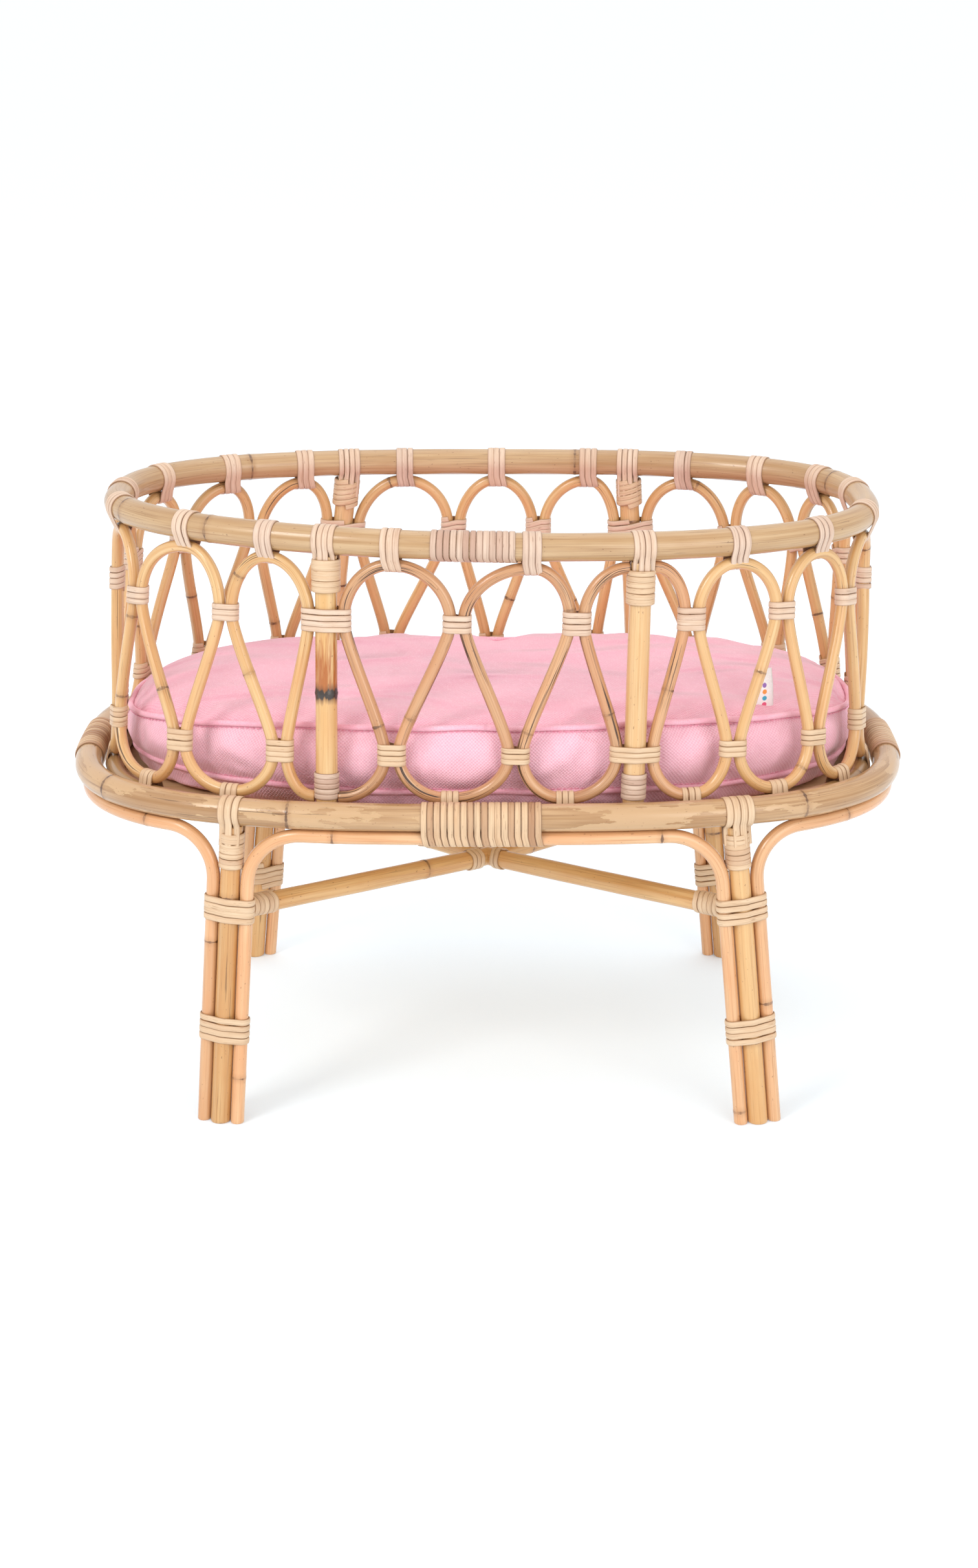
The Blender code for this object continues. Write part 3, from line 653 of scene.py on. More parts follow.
def end_gap(turn):
    """How far from a turn the canes that meet there end."""
    return POST_R + 2 * SKIP if at_post(turn) else SKIP / 2


def loop_half(arch, neck, tie, foot_turn, side):
    """Axis of half a loop, from its foot up to the top of its arch."""
    gap = end_gap(foot_turn)
    foot = beside(foot_turn, FOOT_Z, -side * gap)
    start = beside(foot_turn, FOOT_Z, -side * (gap + LEAD))
    lower = beside(neck, LOWER_Z, side * half_spacing(neck))
    upper = beside(tie, UPPER_Z, -side * half_spacing(tie))
    top_z = float(rim_height(arch)) - RIM_R - SKIP - CANE_R
    a = np.linspace(0, np.pi / 2, 17)[1:, None]
    flat = [np.array([[foot, FOOT_Z], [start, FOOT_Z]])]
    flat.append(np.hstack([start + (lower - start) * np.sin(a),
                           LOWER_Z + (FOOT_Z - LOWER_Z) * np.cos(a)]))
    flat.append(bezier((lower, LOWER_Z), (lower, LOWER_Z + NECK), (upper, UPPER_Z - NECK),
                       (upper, UPPER_Z), 24))
    peak = beside(arch, top_z, side * (end_gap(arch) + LEAD)) if at_post(arch) else arch
    flat.append(np.hstack([peak + (upper - peak) * np.cos(a),
                           UPPER_Z + (top_z - UPPER_Z) * np.sin(a)]))
    if at_post(arch):
        flat.append(np.array([[beside(arch, top_z, side * end_gap(arch)), top_z]]))
    flat = np.vstack(flat)
    return wall(flat[:, 0], flat[:, 1])


for i, (turn, neck, tie, foot_turn) in enumerate(LOOPS):
    whole = 1.0 if i == 0 else 0.0
    first = loop_half(turn, neck, LOOPS[i - 1][2] - whole, LOOPS[i - 1][3] - whole, -1)
    second = loop_half(turn, neck, tie, foot_turn, 1)
    number, out = "%02d" % (i + 1), wall_axes(turn, 0.25)[1]
    mat, slot = (PINK_MAT, "pink_cane") if i in PINK_LOOPS else (CANE_MAT, "cane")
    if at_post(turn):
        for half, label in ((first, "_left"), (second, "_right")):
            half = smooth_path(along(half, np.linspace(0, length_of(half), POST_LOOP_STEPS)))
            spots = sorted(rng.uniform(0.03, length_of(half) - 0.02, 1))
            Piece().tube(half, CANE_R, 16, up=out, knots=spots, tone=rng.uniform(-0.3, 0.3)).make(
                "cane_" + number + label, mat, slot, "stand", "loop_" + number + label)
    else:
        path = np.vstack([first, second[::-1][1:]])
        path = smooth_path(along(path, np.linspace(0, length_of(path), LOOP_STEPS)))
        spots = sorted(rng.uniform(0.05, 0.95, 2) * length_of(path))
        if spots[1] - spots[0] < 0.04:
            spots = spots[:1]
        Piece().tube(path, CANE_R, 16, up=out, knots=spots, tone=rng.uniform(-0.35, 0.3)).make(
            "cane_" + number, mat, slot, "stand", "loop_" + number)

# ------ bindings of the weave
GREY_STRAPS = (1, 3, 5, 6, 11, 14)               # loops tied to the rim with greyer peel
UPPER_DROP = 0.0005
UPPER_WIDTH, LOWER_WIDTH, FOOT_WIDTH, STRAP_WIDTH = 0.0033, 0.0032, 0.0034, 0.0036


def tie_canes(name, turn, z, turns, width, drop=0.0, **how):
    """A binding of the two canes that meet at a place on the wall, and of a post there."""
    out, up = wall_axes(turn, z)[1:]
    spacing = half_spacing(turn)
    circles = [(0, -spacing, CANE_R), (0, spacing, CANE_R)]
    if at_post(turn):
        circles.append((0, 0, POST_R))
    reach = (turns + 1) * width * 0.5
    axis = wall(turn, z - drop) + up * np.linspace(-reach, reach, 9)[:, None]
    bind(name, axis, out, circles, turns, width, margin=0.0003, spread=0.1, **how)


for i, (turn, neck, tie, foot_turn) in enumerate(LOOPS):
    number = "%02d" % (i + 1)
    # upper tie, where this loop meets the next
    turns = 4 if at_post(tie) else int(rng.integers(3, 5))
    tie_canes("upper_binding_" + number, tie, UPPER_Z, turns, UPPER_WIDTH, UPPER_DROP,
              shade=rng.uniform(-0.3, 0.4), material=PALE_PEEL_MAT)
    # lower tie, where this loop's own sides meet
    turns = int(rng.integers(3, 5))
    tie_canes("lower_binding_" + number, neck, LOWER_Z, turns, LOWER_WIDTH,
              shade=rng.uniform(-0.6, 0.2))
    # foot of the weave, where it is bound to the base ring
    if not at_post(tie):
        half = 2 * FOOT_WIDTH
        axis = np.array([wall(beside(foot_turn, FOOT_Z, d), FOOT_Z)
                         for d in np.linspace(-half, half, 9)])
        bind("foot_binding_" + number, axis, Z,
             [(0, 0, CANE_R), (BASE_Z - FOOT_Z, 0, BASE_R)], 3, FOOT_WIDTH, margin=0.0002,
             spread=0.12, shade=rng.uniform(-0.7, 0.1))
    # strap of the arch to the rim
    if not at_post(turn):
        half = 2 * STRAP_WIDTH
        u = turn + np.linspace(-half, half, 9) / RIM.perimeter
        bind("rim_strap_" + number, rim_at(u), Z,
             [(0, 0, RIM_R), (-RIM_R - SKIP - CANE_R, 0, CANE_R)], 3, STRAP_WIDTH, spread=0.1,
             shade=rng.uniform(-0.4, 0.3),
             material=PINK_PEEL_MAT if i in GREY_STRAPS else PALE_PEEL_MAT)


# ------ collars of the posts
def over_pole(point, tangent, radius, legs_at, drop, lean, count=4, width=0.0032):
    """Strands that go over a pole and down both sides of the post or leg below it."""
    piece = Piece()
    tangent = unit(tangent)
    side = unit(np.cross(tangent, Z))
    r = radius + 0.0003
    for k in range(count):
        shift = (k - (count - 1) / 2) * width * 1.02
        hug = math.acos(min(1.0, math.sqrt(max(legs_at ** 2 - shift ** 2, 1e-6)) / r))
        arc = [point + side * r * math.cos(x) + Z * r * math.sin(x)
               for x in np.linspace(-hug, np.pi + hug, 30)]
        down = np.linspace(0, drop - r * math.sin(hug), 7)[1:]
        front = [arc[0] - lean * d for d in down]
        back = [arc[-1] - lean * d for d in down]
        path = smooth_path(np.array(front[::-1] + arc + back), 2)
        path = path + tangent * (shift + rng.normal(0, 0.00012))
        across = np.broadcast_to(tangent, path.shape)
        normal = unit(np.cross(across, unit(np.gradient(path, axis=0))))
        flip = np.sign((normal * (path - point)).sum(1, keepdims=True))
        normal = normal * np.where(flip == 0, 1, flip)
        piece.strip(path, normal, across, width * rng.uniform(0.92, 1.02), 0.0008,
                    rng.uniform(-0.5, 0.3))
    return piece


COLLAR_Z, COLLAR_TOP_GAP = 0.3155, 0.0010
FRONT_RIGHT_COLLAR = (0.3090, 0.3315)       # lower, between the ends of its two canes
COLLAR_WIDTH, COLLAR_PITCH = 0.0035, 0.0034
FOOT_WRAP = (0.1965, 0.2145)
POST_STRAP_DROP, LEG_STRAP_DROP, LEG_STRAP_WIDTH = 0.0215, 0.0195, 0.0041
for where, turn in POST_TURNS.items():
    lean = unit(wall(turn, 0.34) - wall(turn, 0.30))
    over_pole(rim_at(turn), np.append(RIM.tangent(turn), 0.0), RIM_R, POST_R + 0.0004,
              POST_STRAP_DROP, lean).make("post_strap_" + where, PALE_PEEL_MAT, "peel", "stand")
    out = wall_axes(turn, 0.32)[1]
    low, high = COLLAR_Z, float(rim_height(turn)) - RIM_R - COLLAR_TOP_GAP
    if where == "front_right":
        low, high = FRONT_RIGHT_COLLAR
    bind("post_collar_" + where, wall(turn, np.linspace(low, high, 12)), out,
         [(0, 0, POST_R)], int((high - low) / COLLAR_PITCH), COLLAR_WIDTH, thick=0.0011,
         margin=0.0009, spread=0.12, shade=-0.2)
    bind("post_foot_wrap_" + where, wall(turn, np.linspace(*FOOT_WRAP, 12)), out,
         [(0, 0, POST_R)], 5, 0.0031, margin=0.0002, spread=0.2, shade=0.3,
         material=PINK_PEEL_MAT)

# ------ wraps of the rings
bind("rim_wrap", rim_at(np.linspace(-0.0308, 0.0138, 30)), Z, [(0, 0, RIM_R)], 13, 0.0035,
     spread=0.18, shade=0.45, material=PINK_PEEL_MAT, nodes=["rim_splice_wrap"])
RING_WRAPS = {"front": (-0.0300, 0.0255), "right": (0.228, 0.272), "back": (0.474, 0.526),
              "left": (0.728, 0.772)}
WRAP_WIDTH, WRAP_PITCH = 0.00365, 0.0037
for where, (start, stop) in RING_WRAPS.items():
    bind("ring_binding_" + where, lift(RING.at(np.linspace(start, stop, 40)), RING_Z), Z,
         [(0, 0, RING_R), (-RING_R - SKIP - BRACKET_R, 0, BRACKET_R)],
         int((stop - start) * RING.perimeter / WRAP_PITCH) - 1, WRAP_WIDTH, spread=0.3,
         margin=0.0001, drift=0.00014, nodes=["ring_wrap_" + where],
         material=BROWN_PEEL_MAT if where in ("front", "left") else PEEL_MAT)


# ------ stand
UNDER_RING = RING_Z - RING_R - SKIP         # top of the legs
BEND, PULL = 0.030, 0.56                    # radius of a bracket's bend, roundness of its curve
LEG_SIDE = LEG_R + SKIP + BRACKET_R         # from a leg's axis to a bracket's
LEG_KNOTS = {"front_left": [0.141], "front_right": [0.052], "back_right": [0.09],
             "back_left": [0.064]}
LEG_TONES = {"front_left": 0.3, "front_right": -0.75, "back_right": 0.0, "back_left": 0.15}


def leg_axis(where, z):
    top, foot = RING.at(LEG_TURNS[where]), MOUNTS[where][:2]
    z = np.asarray(z, float)
    return lift(foot + (top - foot) * (z / UNDER_RING)[..., None], z)


def leg_tangent(where):
    return np.append(RING.tangent(LEG_TURNS[where]), 0.0)


for where in LEG_TURNS:
    Piece().tube(leg_axis(where, [0.0, UNDER_RING]), LEG_R, 28, up=Y, level=True,
                 knots=LEG_KNOTS[where], tone=LEG_TONES[where]).make(
        "leg_pole_" + where, LEG_MAT, "leg_wood", "stand", "leg_" + where)


def bracket_end(where, direction):
    """Axis of a bracket's leg and bend, and the turn at which it reaches the ring."""
    step = leg_tangent(where) * LEG_SIDE * direction
    under = UNDER_RING - BRACKET_R
    turn = LEG_TURNS[where] + direction * (LEG_SIDE + BEND) / RING.perimeter
    start = leg_axis(where, under - BEND) + step
    rise = (leg_axis(where, under) - leg_axis(where, under - BEND)) * PULL
    goal = lift(RING.at(turn), under)
    back = np.append(RING.tangent(turn), 0.0) * (-direction * BEND * PULL)
    low = leg_axis(where, np.linspace(0.0, under - BEND, 20)) + step
    return np.vstack([low, bezier(start, start + rise, goal + back, goal, 20)]), turn


def bracket_knots(where, total):
    return {"front": [0.029, 0.217, 0.404, total - 0.008],
            "left": [0.098, total - 0.212, total - 0.113], "right": [0.075, 0.23, 0.41],
            "back": [0.12, 0.3, 0.47]}[where]


for where, (one, two) in BRACKETS.items():
    rising, start = bracket_end(one, 1)
    falling, stop = bracket_end(two, -1)
    stop += 1.0 if stop < start else 0.0
    u = np.linspace(start, stop, int((stop - start) * 300))[1:-1]
    path = np.vstack([rising, lift(RING.at(u), UNDER_RING - BRACKET_R), falling[::-1]])
    Piece().tube(path, BRACKET_R, 18, up=X if where in ("left", "right") else Y, level=True,
                 knots=bracket_knots(where, length_of(path)),
                 tone=0.3 if where == "left" else 0.0).make(
        "bracket_cane_" + where, BRACKET_MAT, "bracket_cane", "stand", "bracket_" + where)

LEG_TIES = (("upper", 0.1336, 0.0188), ("lower", 0.0592, 0.0198))    # height and length
LEG_COLLAR = (0.1575, 0.1815)
for where, turn in LEG_TURNS.items():
    out = np.append(RING.normal(turn), 0.0)
    step = leg_tangent(where) * LEG_SIDE
    for level, z, width in LEG_TIES:
        axis = leg_axis(where, np.linspace(z - width / 2, z + width / 2, 9))
        t, u, v = frames_along(axis, out)
        circles = [(0, 0, LEG_R)] + [(d * step.dot(u[0]), d * step.dot(v[0]), BRACKET_R)
                                     for d in (-1, 1)]
        bind("leg_binding_%s_%s" % (level, where), axis, u[0], circles, 4, 0.0037, spread=0.08,
             per_turn=56, margin=0.0002, shade=0.1, drift=0.0003,
             nodes=["tie_%s_%s" % (level, where)])
    bind("leg_collar_" + where, leg_axis(where, np.linspace(*LEG_COLLAR, 14)), out,
         [(0, 0, LEG_R)], 7, 0.0031, spread=0.2, margin=0.0006, thick=0.0007,
         nodes=["collar_" + where])
    lean = unit(leg_axis(where, 0.18) - leg_axis(where, 0.15))
    over_pole(lift(RING.at(turn), RING_Z), leg_tangent(where), RING_R, LEG_R + 0.0002,
              LEG_STRAP_DROP, lean, count=4 if where == "front_right" else 3,
              width=LEG_STRAP_WIDTH).make(
        "leg_strap_" + where, PEEL_MAT, "peel", "stand")

# ------ stretchers
STRETCHER_Z = {"front": 0.1315, "middle": 0.1185, "back": 0.1180}
STRETCHER_KNOTS = {"a": [0.1345, 0.22, 0.34], "b": [0.235, 0.31]}
END_GAP = 0.0019
END_WRAP = (0.0005, 0.0215)                 # its ends, from the stretcher's end
CROSSING_WRAPS = {"a": (0.0185, 3, ["crossing_tie"]), "b": (0.0150, 2, [])}


def stretcher(front, back, label):
    ends = []
    for where, other, z in ((front, back, STRETCHER_Z["front"]),
                            (back, front, STRETCHER_Z["back"])):
        inwards = unit(leg_axis(other, z) - leg_axis(where, z))
        reach = max(LEG_R, abs((leg_tangent(where) * LEG_SIDE).dot(inwards)) + BRACKET_R)
        ends.append(leg_axis(where, z) + inwards * (reach + END_GAP))
    path = np.array([ends[0], (0, 0, STRETCHER_Z["middle"]), ends[1]])
    path = smooth_path(along(path, np.linspace(0, length_of(path), 60)), 6)
    Piece().tube(path, STRETCHER_R, 28, knots=STRETCHER_KNOTS[label], tone=-0.1).make(
        "stretcher_pole_" + label, LEG_MAT, "leg_wood", "stand", "stretcher_" + label)
    return path


def stretcher_wrap(path, start, end, turns, width, name, nodes=()):
    bind(name, along(path, np.linspace(start, end, 12)), Z, [(0, 0, STRETCHER_R)], turns, width,
         start=0.0, spread=0.1, shade=0.15, margin=0.0001, nodes=nodes)


stretchers = {"a": stretcher("front_left", "back_right", "a"),
              "b": stretcher("front_right", "back_left", "b")}
for label, path in stretchers.items():
    total = length_of(path)
    near, far = END_WRAP
    name = "stretcher_end_wrap_" + label
    stretcher_wrap(path, near, far, 5, 0.0036, name + "_front")
    stretcher_wrap(path, total - far, total - near, 5, 0.0036, name + "_back")
for label, path in stretchers.items():
    middle = length_of(path) / 2
    reach, turns, nodes = CROSSING_WRAPS[label]
    stretcher_wrap(path, middle - reach, middle - 0.0055, turns, 0.0033,
                   "crossing_wrap_" + label, nodes)


# ------ floor panel
def board_material():
    m = Nodes("floor_board")
    coord = m.node("ShaderNodeTexCoord").outputs["Object"]
    fibre = m.noise(coord, (30, 900, 900), 4)
    band = m.noise(coord, (6, 60, 60), 3, distortion=0.6)
    color = m.mix(m.fit(band, 0.35, 0.65), srgb(206, 174, 128), srgb(228, 200, 156))
    color = m.mix(m.fit(fibre, 0.5, 0.75, 0, 0.45), color, srgb(168, 126, 80))
    return m.set(Base_Color=color, Roughness=m.fit(fibre, 0.3, 0.7, 0.5, 0.68),
                 Normal=m.bump(fibre, 0.0002, 0.5))


panel = frame["nodes"]["floor_panel"]
panel.data.materials.clear()
panel.data.materials.append(board_material())

# ------ mattress
SEAM_LOW, SEAM_HIGH, CROWN = 0.1985, 0.2315, 0.2400
SEAM_TILT, END_SAG = (0.0025, -0.0045), 0.009     # the cushion sags at its ends and back
CUSHION_HALF = (0.2200, 0.1135)
CUSHION_CENTRE = np.array([0.0008, -0.0010])
CUSHION = Oval(superellipse(CUSHION_HALF, (2.35, 2.7, 2.7, 2.2), CUSHION_CENTRE))
END_TAPER = 0.020       # the ends draw in towards the floor, as the basket's wall does
CUSHION_FLOOR = FLOOR_TOP + 0.0004
CUSHION_STEPS = 240
SEAM_INSETS = (0.0008, 0.0010)              # of the lower and the upper seam
VOXEL, HELD_REACH, HELD_CORE = 0.0042, 0.0038, 1.45
LAST_FRAME, MOST_MOVE = 20, 0.0028          # of the cloth simulation
WEAVE_PITCH = 0.0010
CLOTH_SETTINGS = dict(quality=6, mass=0.25, tension_stiffness=18, compression_stiffness=10,
                      shear_stiffness=6, bending_stiffness=0.35, use_pressure=True,
                      uniform_pressure_force=2.2, shrink_min=-0.035,
                      vertex_group_mass="held", pin_stiffness=1.0)
PIPING_R, STITCHES, STITCH_HALF, STITCH_R = 0.0017, 320, 0.0011, 0.00028


def seam_wave(u, seed):
    """Slow drift of a hand-sewn seam, in metres."""
    return (np.sin(u * 2 * np.pi * 5 + seed) + 0.8 * np.sin(u * 2 * np.pi * 11 + seed * 2.1)
            + 0.5 * np.sin(u * 2 * np.pi * 23 + seed * 0.7)) * 0.0006


def seam_level(points):
    """Height of the upper seam at plane points: the cushion isn't quite level."""
    share = points / CUSHION_HALF
    return SEAM_HIGH + share @ np.array(SEAM_TILT) - END_SAG * share[..., 0] ** 4


def seam_z(u, upper):
    if upper:
        return seam_level(CUSHION.at(u)) + seam_wave(u, 4.0) * 0.8
    return SEAM_LOW + seam_wave(u, 1.0) * 0.6


def tapered(points):
    depth = np.clip((SEAM_HIGH - points[..., 2]) / (SEAM_HIGH - FLOOR_TOP), 0, 1)
    points[..., 0] *= 1 - END_TAPER * depth
    return points


def around(u, inwards):
    """Plane points that are inside the cushion's edge by a distance towards its centre."""
    edge = CUSHION.at(u) - CUSHION_CENTRE
    reach = np.linalg.norm(edge, axis=-1)
    return CUSHION_CENTRE + edge / reach[..., None] * (reach - inwards)[..., None]


def seam_point(u, upper):
    return tapered(lift(around(u, SEAM_INSETS[upper]), seam_z(u, upper)))


def cushion_mesh():
    """Rings of the cushion's outline, from the middle of its underside to its crown."""
    steps, floor = CUSHION_STEPS, CUSHION_FLOOR
    u = np.arange(steps) / steps
    low, high = seam_z(u, 0), seam_z(u, 1)
    rise = CROWN - high
    inner = 0.7 * np.linalg.norm(CUSHION.at(u) - CUSHION_CENTRE, axis=1)
    levels = [(floor, inner), (floor, 0.06), (floor, 0.012), (floor + 0.0025, 0.0035),
              ((floor + low) / 2 + 0.002, 0.0010), (low, SEAM_INSETS[0]),
              (low * 0.75 + high * 0.25, -0.0022), ((low + high) / 2, -0.0030),
              (low * 0.25 + high * 0.75, -0.0020), (high, SEAM_INSETS[1]),
              (high + rise * 0.3, 0.0075), (high + rise * 0.6, 0.020),
              (high + rise * 0.88, 0.042), (CROWN, 0.075)]
    rings = [lift(around(u, inwards), z) for z, inwards in levels]
    ends = lift([CUSHION_CENTRE] * 2, np.array([CUSHION_FLOOR, CROWN + 0.0008]))
    verts = tapered(np.vstack(rings + [ends]))
    last, nxt = (len(levels) - 1) * steps, [(k + 1) % steps for k in range(steps)]
    faces = [(i + k, i + nxt[k], i + steps + nxt[k], i + steps + k)
             for i in range(0, last, steps) for k in range(steps)]
    for k in range(steps):
        faces += [(len(verts) - 2, nxt[k], k), (len(verts) - 1, last + k, last + nxt[k])]
    mesh = bpy.data.meshes.new("mattress")
    mesh.from_pydata(verts.tolist(), [], faces)
    return mesh


def canvas_material():
    """Plain-woven canvas, with soft folds; the side band is painted paler, a painted highlight for
    the front light that falls on it.
    """
    m = Nodes("canvas")
    cloth = m.attribute("cloth")
    x, y, panel_number = m.split(cloth)
    threads = m.times(m.math("SINE", m.times(x, math.pi / WEAVE_PITCH)),
                      m.math("SINE", m.times(y, math.pi / WEAVE_PITCH)))
    slubs = m.plus(m.noise(cloth, (1100, 150, 1), 2), m.noise(cloth, (150, 1100, 1), 2))
    fade = m.noise(cloth, (30, 30, 1), 3)
    color = m.mix(m.fit(fade, 0.3, 0.7), srgb(242, 180, 196), srgb(246, 192, 207))
    # painted highlight: the side band (panel 0) is painted paler pink for the front light on it,
    # the top panels are not
    color = m.mix(m.fit(panel_number, 2.0, 3.0, 0.42, 0), color, srgb(254, 218, 228))
    color = m.mix(m.fit(threads, -0.9, 0.9, 0.5, 0), color, srgb(222, 136, 160))
    color = m.mix(m.fit(slubs, 1.0, 1.3, 0, 0.35), color, srgb(252, 208, 218))
    fold = m.noise(cloth, (11, 21, 1), 1, 0.35, 0.9)
    crease = m.noise(cloth, (46, 24, 1), 1, 0.3, 0.5)
    soft = m.bump(m.plus(fold, m.times(crease, 0.12)), 0.020, 0.8)
    height = m.plus(m.times(threads, 0.5), m.times(slubs, 0.5))
    return m.set(Base_Color=color, Roughness=0.85, Normal=m.bump(height, 0.00035, 0.6, soft),
                 Sheen_Weight=0.3, Sheen_Roughness=0.5, IOR=1.35)


def read(items, name, width=1, kind=float):
    """One value or row of a mesh's data for each of its items."""
    values = np.empty(len(items) * width, kind)
    items.foreach_get(name, values)
    return values.reshape(-1, width) if width > 1 else values


def simulate(obj):
    """Puff the cushion up with cloth held at its seams and underside."""
    scene = bpy.context.scene
    bpy.context.view_layer.objects.active = obj
    remesh = obj.modifiers.new("remesh", "REMESH")
    remesh.mode, remesh.voxel_size = "VOXEL", VOXEL
    bpy.ops.object.modifier_apply(modifier=remesh.name)
    mesh = obj.data
    start = read(mesh.vertices, "co", 3)
    held = np.zeros(len(start))
    for upper in (0, 1):
        seam = seam_point(np.linspace(0, 1, 1400, endpoint=False), upper)
        for chunk in range(0, len(start), 2000):
            part = start[chunk:chunk + 2000]
            d = np.linalg.norm(part[:, None] - seam[None], axis=2).min(1)
            held[chunk:chunk + 2000] = np.maximum(held[chunk:chunk + 2000],
                                                  np.clip(HELD_CORE - d / HELD_REACH, 0, 1))
    held = np.maximum(held, np.where(start[:, 2] < FLOOR_TOP + 0.003, 1.0, 0.0))
    group = obj.vertex_groups.new(name="held")
    for i in np.nonzero(held > 0.01)[0]:
        group.add([int(i)], float(held[i]), "REPLACE")
    cloth = obj.modifiers.new("cloth", "CLOTH")
    for key, value in CLOTH_SETTINGS.items():
        setattr(cloth.settings, key, value)
    cloth.settings.effector_weights.gravity = 0.0
    cloth.collision_settings.use_collision = False
    cloth.point_cache.frame_start, cloth.point_cache.frame_end = 1, LAST_FRAME
    for number in range(1, LAST_FRAME + 1):
        scene.frame_set(number)
    shape = obj.evaluated_get(bpy.context.evaluated_depsgraph_get())
    shift = read(shape.data.vertices, "co", 3) - start
    obj.modifiers.remove(cloth)
    scene.frame_set(1)
    size = np.linalg.norm(shift, axis=1, keepdims=True)
    shift *= np.minimum(1, MOST_MOVE / np.maximum(size, 1e-9))
    mesh.vertices.foreach_set("co", (start + shift).ravel())
    mesh.update()


def lay_out_cloth(mesh):
    """Where each face corner lies in its own flat panel of cloth: the top and bottom
    panels are number 5, and the side band, laid along its turn, is number 0."""
    normals = read(mesh.polygons, "normal", 3)
    centres = read(mesh.polygons, "center", 3)
    flat = (centres[:, 2] > seam_level(centres[:, :2]) - 0.0005) | (abs(normals[:, 2]) > 0.75)
    flat = np.repeat(flat, read(mesh.polygons, "loop_total", kind=int))
    p = read(mesh.vertices, "co", 3)[read(mesh.loops, "vertex_index", kind=int)]
    samples = np.linspace(0, 1, 2000, endpoint=False)
    edge = CUSHION.at(samples)
    edge_angle = np.arctan2(edge[:, 1], edge[:, 0] * 0.55)
    order = np.argsort(edge_angle)
    turn = np.interp(np.arctan2(p[:, 1], p[:, 0] * 0.55), edge_angle[order],
                     np.unwrap(samples[order] * 2 * np.pi) / (2 * np.pi))
    side = np.stack([turn * CUSHION.perimeter, p[:, 2], 0 * turn], 1)
    top = np.stack([p[:, 0], p[:, 1], 0 * turn + 5], 1)
    layer = mesh.attributes.new("cloth", "FLOAT_VECTOR", "CORNER")
    layer.data.foreach_set("vector", np.where(flat[:, None], top, side).astype(np.float32).ravel())


mattress = bpy.data.objects.new("mattress", cushion_mesh())
bpy.context.scene.collection.objects.link(mattress)
simulate(mattress)
mattress.modifiers.new("smooth", "SUBSURF").levels = 1
bpy.context.view_layer.objects.active = mattress
bpy.ops.object.modifier_apply(modifier="smooth")
lay_out_cloth(mattress.data)
mattress.data.shade_smooth()
mattress.data.materials.append(canvas_material())
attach(mattress, "mattress")
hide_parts("mattress_cover", "mattress_core")


# ------ piping and stitches
def thread_material():
    m = Nodes("thread")
    fade = m.fit(m.noise(m.attribute("grain"), (900, 900, 900), 2), 0.3, 0.7)
    return m.set(Base_Color=m.mix(fade, srgb(226, 140, 164), srgb(240, 166, 186)),
                 Roughness=0.7)


def piping_material():
    m = Nodes("piping")
    grain = m.attribute("grain")
    weave = m.noise(grain, (1500, 1500, 1500), 2)
    fade = m.noise(grain, (90, 90, 60), 2)
    color = m.mix(m.fit(fade, 0.3, 0.7), srgb(244, 178, 195), srgb(250, 198, 212))
    color = m.mix(m.fit(weave, 0.4, 0.7, 0, 0.45), color, srgb(228, 138, 162))
    return m.set(Base_Color=color, Roughness=0.85, Normal=m.bump(weave, 0.0003, 0.6),
                 Sheen_Weight=0.25, Sheen_Roughness=0.5, IOR=1.35)


THREAD, PIPING = thread_material(), piping_material()
for upper, where, piping_shift, stitch_shift in ((0, "lower", -0.0004, 0.0018),
                                                 (1, "upper", 0.0010, -0.0013)):
    u = np.linspace(0, 1, 500, endpoint=False)
    path = seam_point(u, upper) + lift(CUSHION.normal(u), 0.0) * 0.0004 + Z * piping_shift
    Piece().tube(path, PIPING_R, 12, closed=True, wobble=0.06).make(
        "piping_" + where, PIPING, "canvas", "mattress")
    piece = Piece()
    half = STITCH_HALF / CUSHION.perimeter
    for k in range(STITCHES):
        u = k / STITCHES
        ends = seam_point(np.array([u - half, u, u + half]), upper)
        ends = ends + lift(CUSHION.normal(np.array([u] * 3)), 0.0) * 0.0008 + Z * stitch_shift
        piece.tube(ends, STITCH_R, 6, step=0.0011, wobble=0.0, swell=0)
    piece.make("stitches_" + where, THREAD, "canvas", "mattress")

# ------ label
label_lo, label_hi = box("side_label")
LABEL_TURN, LABEL_WIDTH, LABEL_THICK = 0.157, 0.0130, 0.0006
LABEL_ROWS, LABEL_COLUMNS = 22, 10
DOT_R, RIB_PITCH = 0.00135, 0.00035
DOTS = {0.0045: (226, 92, 130), 0.0085: (70, 170, 200), 0.0125: (240, 150, 70),
        0.0165: (150, 110, 180)}            # height on the label, and colour


def label_material():
    """White ribbed tape with a column of coloured dots."""
    m = Nodes("label_cloth")
    flat = m.attribute("cloth")
    x, y = m.split(flat)[:2]
    rib = m.math("SINE", m.times(y, math.pi / RIB_PITCH))
    color = m.mix(m.noise(flat, (600, 600, 1), 2), srgb(250, 247, 244), srgb(236, 230, 228))
    for height, tint in DOTS.items():
        dy = m.minus(y, height)
        far = m.math("SQRT", m.plus(m.times(x, x), m.times(dy, dy)))
        color = m.mix(m.fit(far, DOT_R, DOT_R + 0.00025, 1, 0), color, srgb(*tint))
    return m.set(Base_Color=color, Roughness=0.7, Normal=m.bump(rib, 0.0001, 0.5))


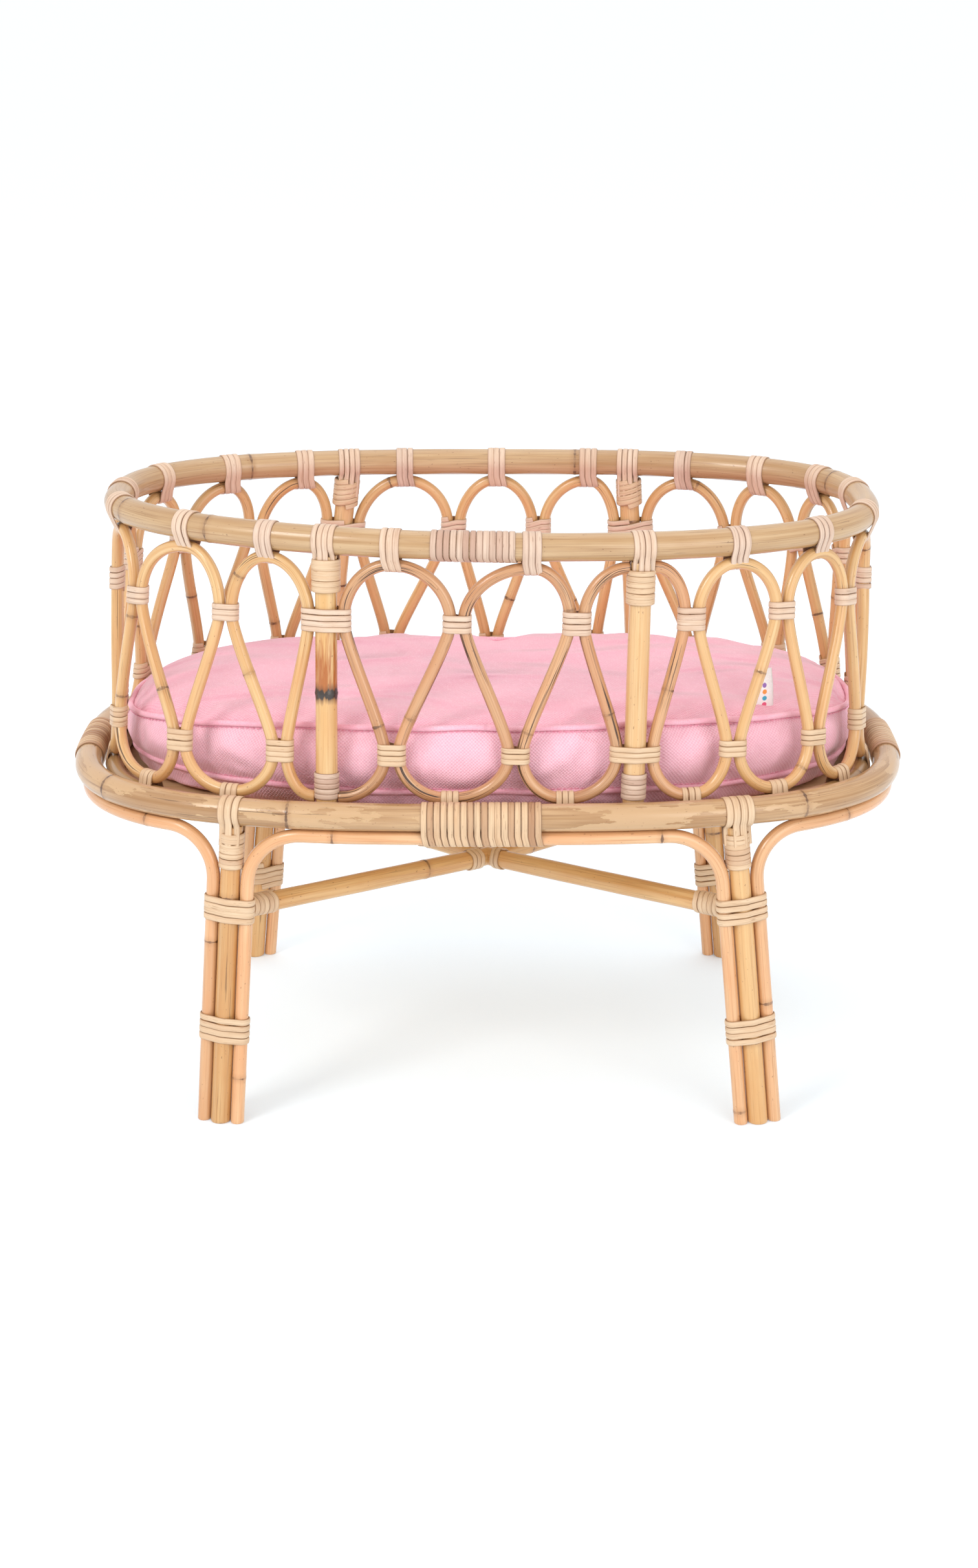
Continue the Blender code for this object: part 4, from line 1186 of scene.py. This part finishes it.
def label_mesh():
    tangent = np.append(CUSHION.tangent(LABEL_TURN), 0.0)
    outward = np.append(CUSHION.normal(LABEL_TURN), 0.0)
    foot_z = float(seam_z(LABEL_TURN, 1)) + 0.0005
    base = np.array([*((label_lo + label_hi) / 2)[:2], foot_z])
    height = label_hi[2] - foot_z - LABEL_THICK
    verts, cloth = [], []
    for r in range(LABEL_ROWS + 1):
        v = r / LABEL_ROWS
        for c in range(LABEL_COLUMNS + 1):
            w = c / LABEL_COLUMNS - 0.5
            bow = 0.0016 * math.sin(v * 2.6) + 0.0005 * math.sin(w * 5 + v * 3)
            verts.append(base + tangent * (w * LABEL_WIDTH - 0.002 * v) + outward * bow
                         + Z * v * height)
            cloth.append((w * LABEL_WIDTH, v * height, 0.0))
    row = LABEL_COLUMNS + 1
    faces = [(r * row + c, r * row + c + 1, (r + 1) * row + c + 1, (r + 1) * row + c)
             for r in range(LABEL_ROWS) for c in range(LABEL_COLUMNS)]
    mesh = bpy.data.meshes.new("label_tag")
    mesh.from_pydata(np.array(verts).tolist(), [], faces)
    layer = mesh.attributes.new("cloth", "FLOAT_VECTOR", "POINT")
    layer.data.foreach_set("vector", np.array(cloth, np.float32).ravel())
    mesh.shade_smooth()
    mesh.materials.append(label_material())
    return mesh


label_tag = bpy.data.objects.new("label_tag", label_mesh())
solid = label_tag.modifiers.new("thickness", "SOLIDIFY")
solid.thickness, solid.offset = LABEL_THICK, 0.0
add_piece(label_tag, "label_cloth", "mattress", "side_label")

# ------ floor, light and camera
floor_mesh = bpy.data.meshes.new("studio_floor")
floor_mesh.from_pydata([(-9, -6, 0), (9, -6, 0), (9, 30, 0), (-9, 30, 0)], [], [(0, 1, 2, 3)])
studio = bpy.data.objects.new("studio_floor", floor_mesh)
bpy.context.scene.collection.objects.link(studio)
floor_mesh.materials.append(Nodes("studio_paper").set(
    Base_Color=(0.86, 0.90, 0.93, 1), Roughness=0.9, Emission_Color=(0.5, 0.75, 1.0, 1),
    Emission_Strength=0.2))

world = bpy.data.worlds.new("studio")
world.use_nodes = True
world.node_tree.nodes["Background"].inputs[0].default_value = (1.0, 1.0, 1.0, 1)
world.node_tree.nodes["Background"].inputs[1].default_value = 1.02
bpy.context.scene.world = world
bpy.context.scene.view_settings.view_transform = "Standard"

LIGHT_TARGET = Vector((0, 0, 0.2))
for name, location, size, power in (("key_light", (-1.5, -1.7, 1.9), 0.8, 22),
                                    ("top_light", (0.2, 0.6, 2.2), 1.4, 5),
                                    ("fill_light", (1.3, -2.1, 0.9), 1.3, 14)):
    light = bpy.data.lights.new(name, "AREA")
    light.shape, light.size, light.energy = "SQUARE", size, power
    lamp = bpy.data.objects.new(name, light)
    lamp.location = location
    lamp.rotation_euler = (LIGHT_TARGET - Vector(location)).to_track_quat("-Z", "Y").to_euler()
    bpy.context.scene.collection.objects.link(lamp)

SENSOR, FOCAL_PER_HEIGHT = 36.0, 1.7333884      # focal length over the frame's height
EYE = (0.0107, -1.5962, 0.6923)
yaw, pitch, roll = -0.0062, 0.3186, -0.0016
camera_data = bpy.data.cameras.new("camera")
camera_data.sensor_width = SENSOR
camera_data.lens = FOCAL_PER_HEIGHT * SENSOR
camera_data.clip_start = 0.05
camera = bpy.data.objects.new("camera", camera_data)
forward = Vector((math.sin(yaw) * math.cos(pitch), math.cos(yaw) * math.cos(pitch),
                  -math.sin(pitch)))
right = Vector((math.cos(yaw), -math.sin(yaw), 0))
up = right.cross(forward)
right, up = (right * math.cos(roll) + up * math.sin(roll),
             up * math.cos(roll) - right * math.sin(roll))
camera.matrix_world = Matrix([(right[k], up[k], -forward[k], EYE[k]) for k in range(3)]
                             + [(0, 0, 0, 1)])
bpy.context.scene.collection.objects.link(camera)
bpy.context.scene.camera = camera
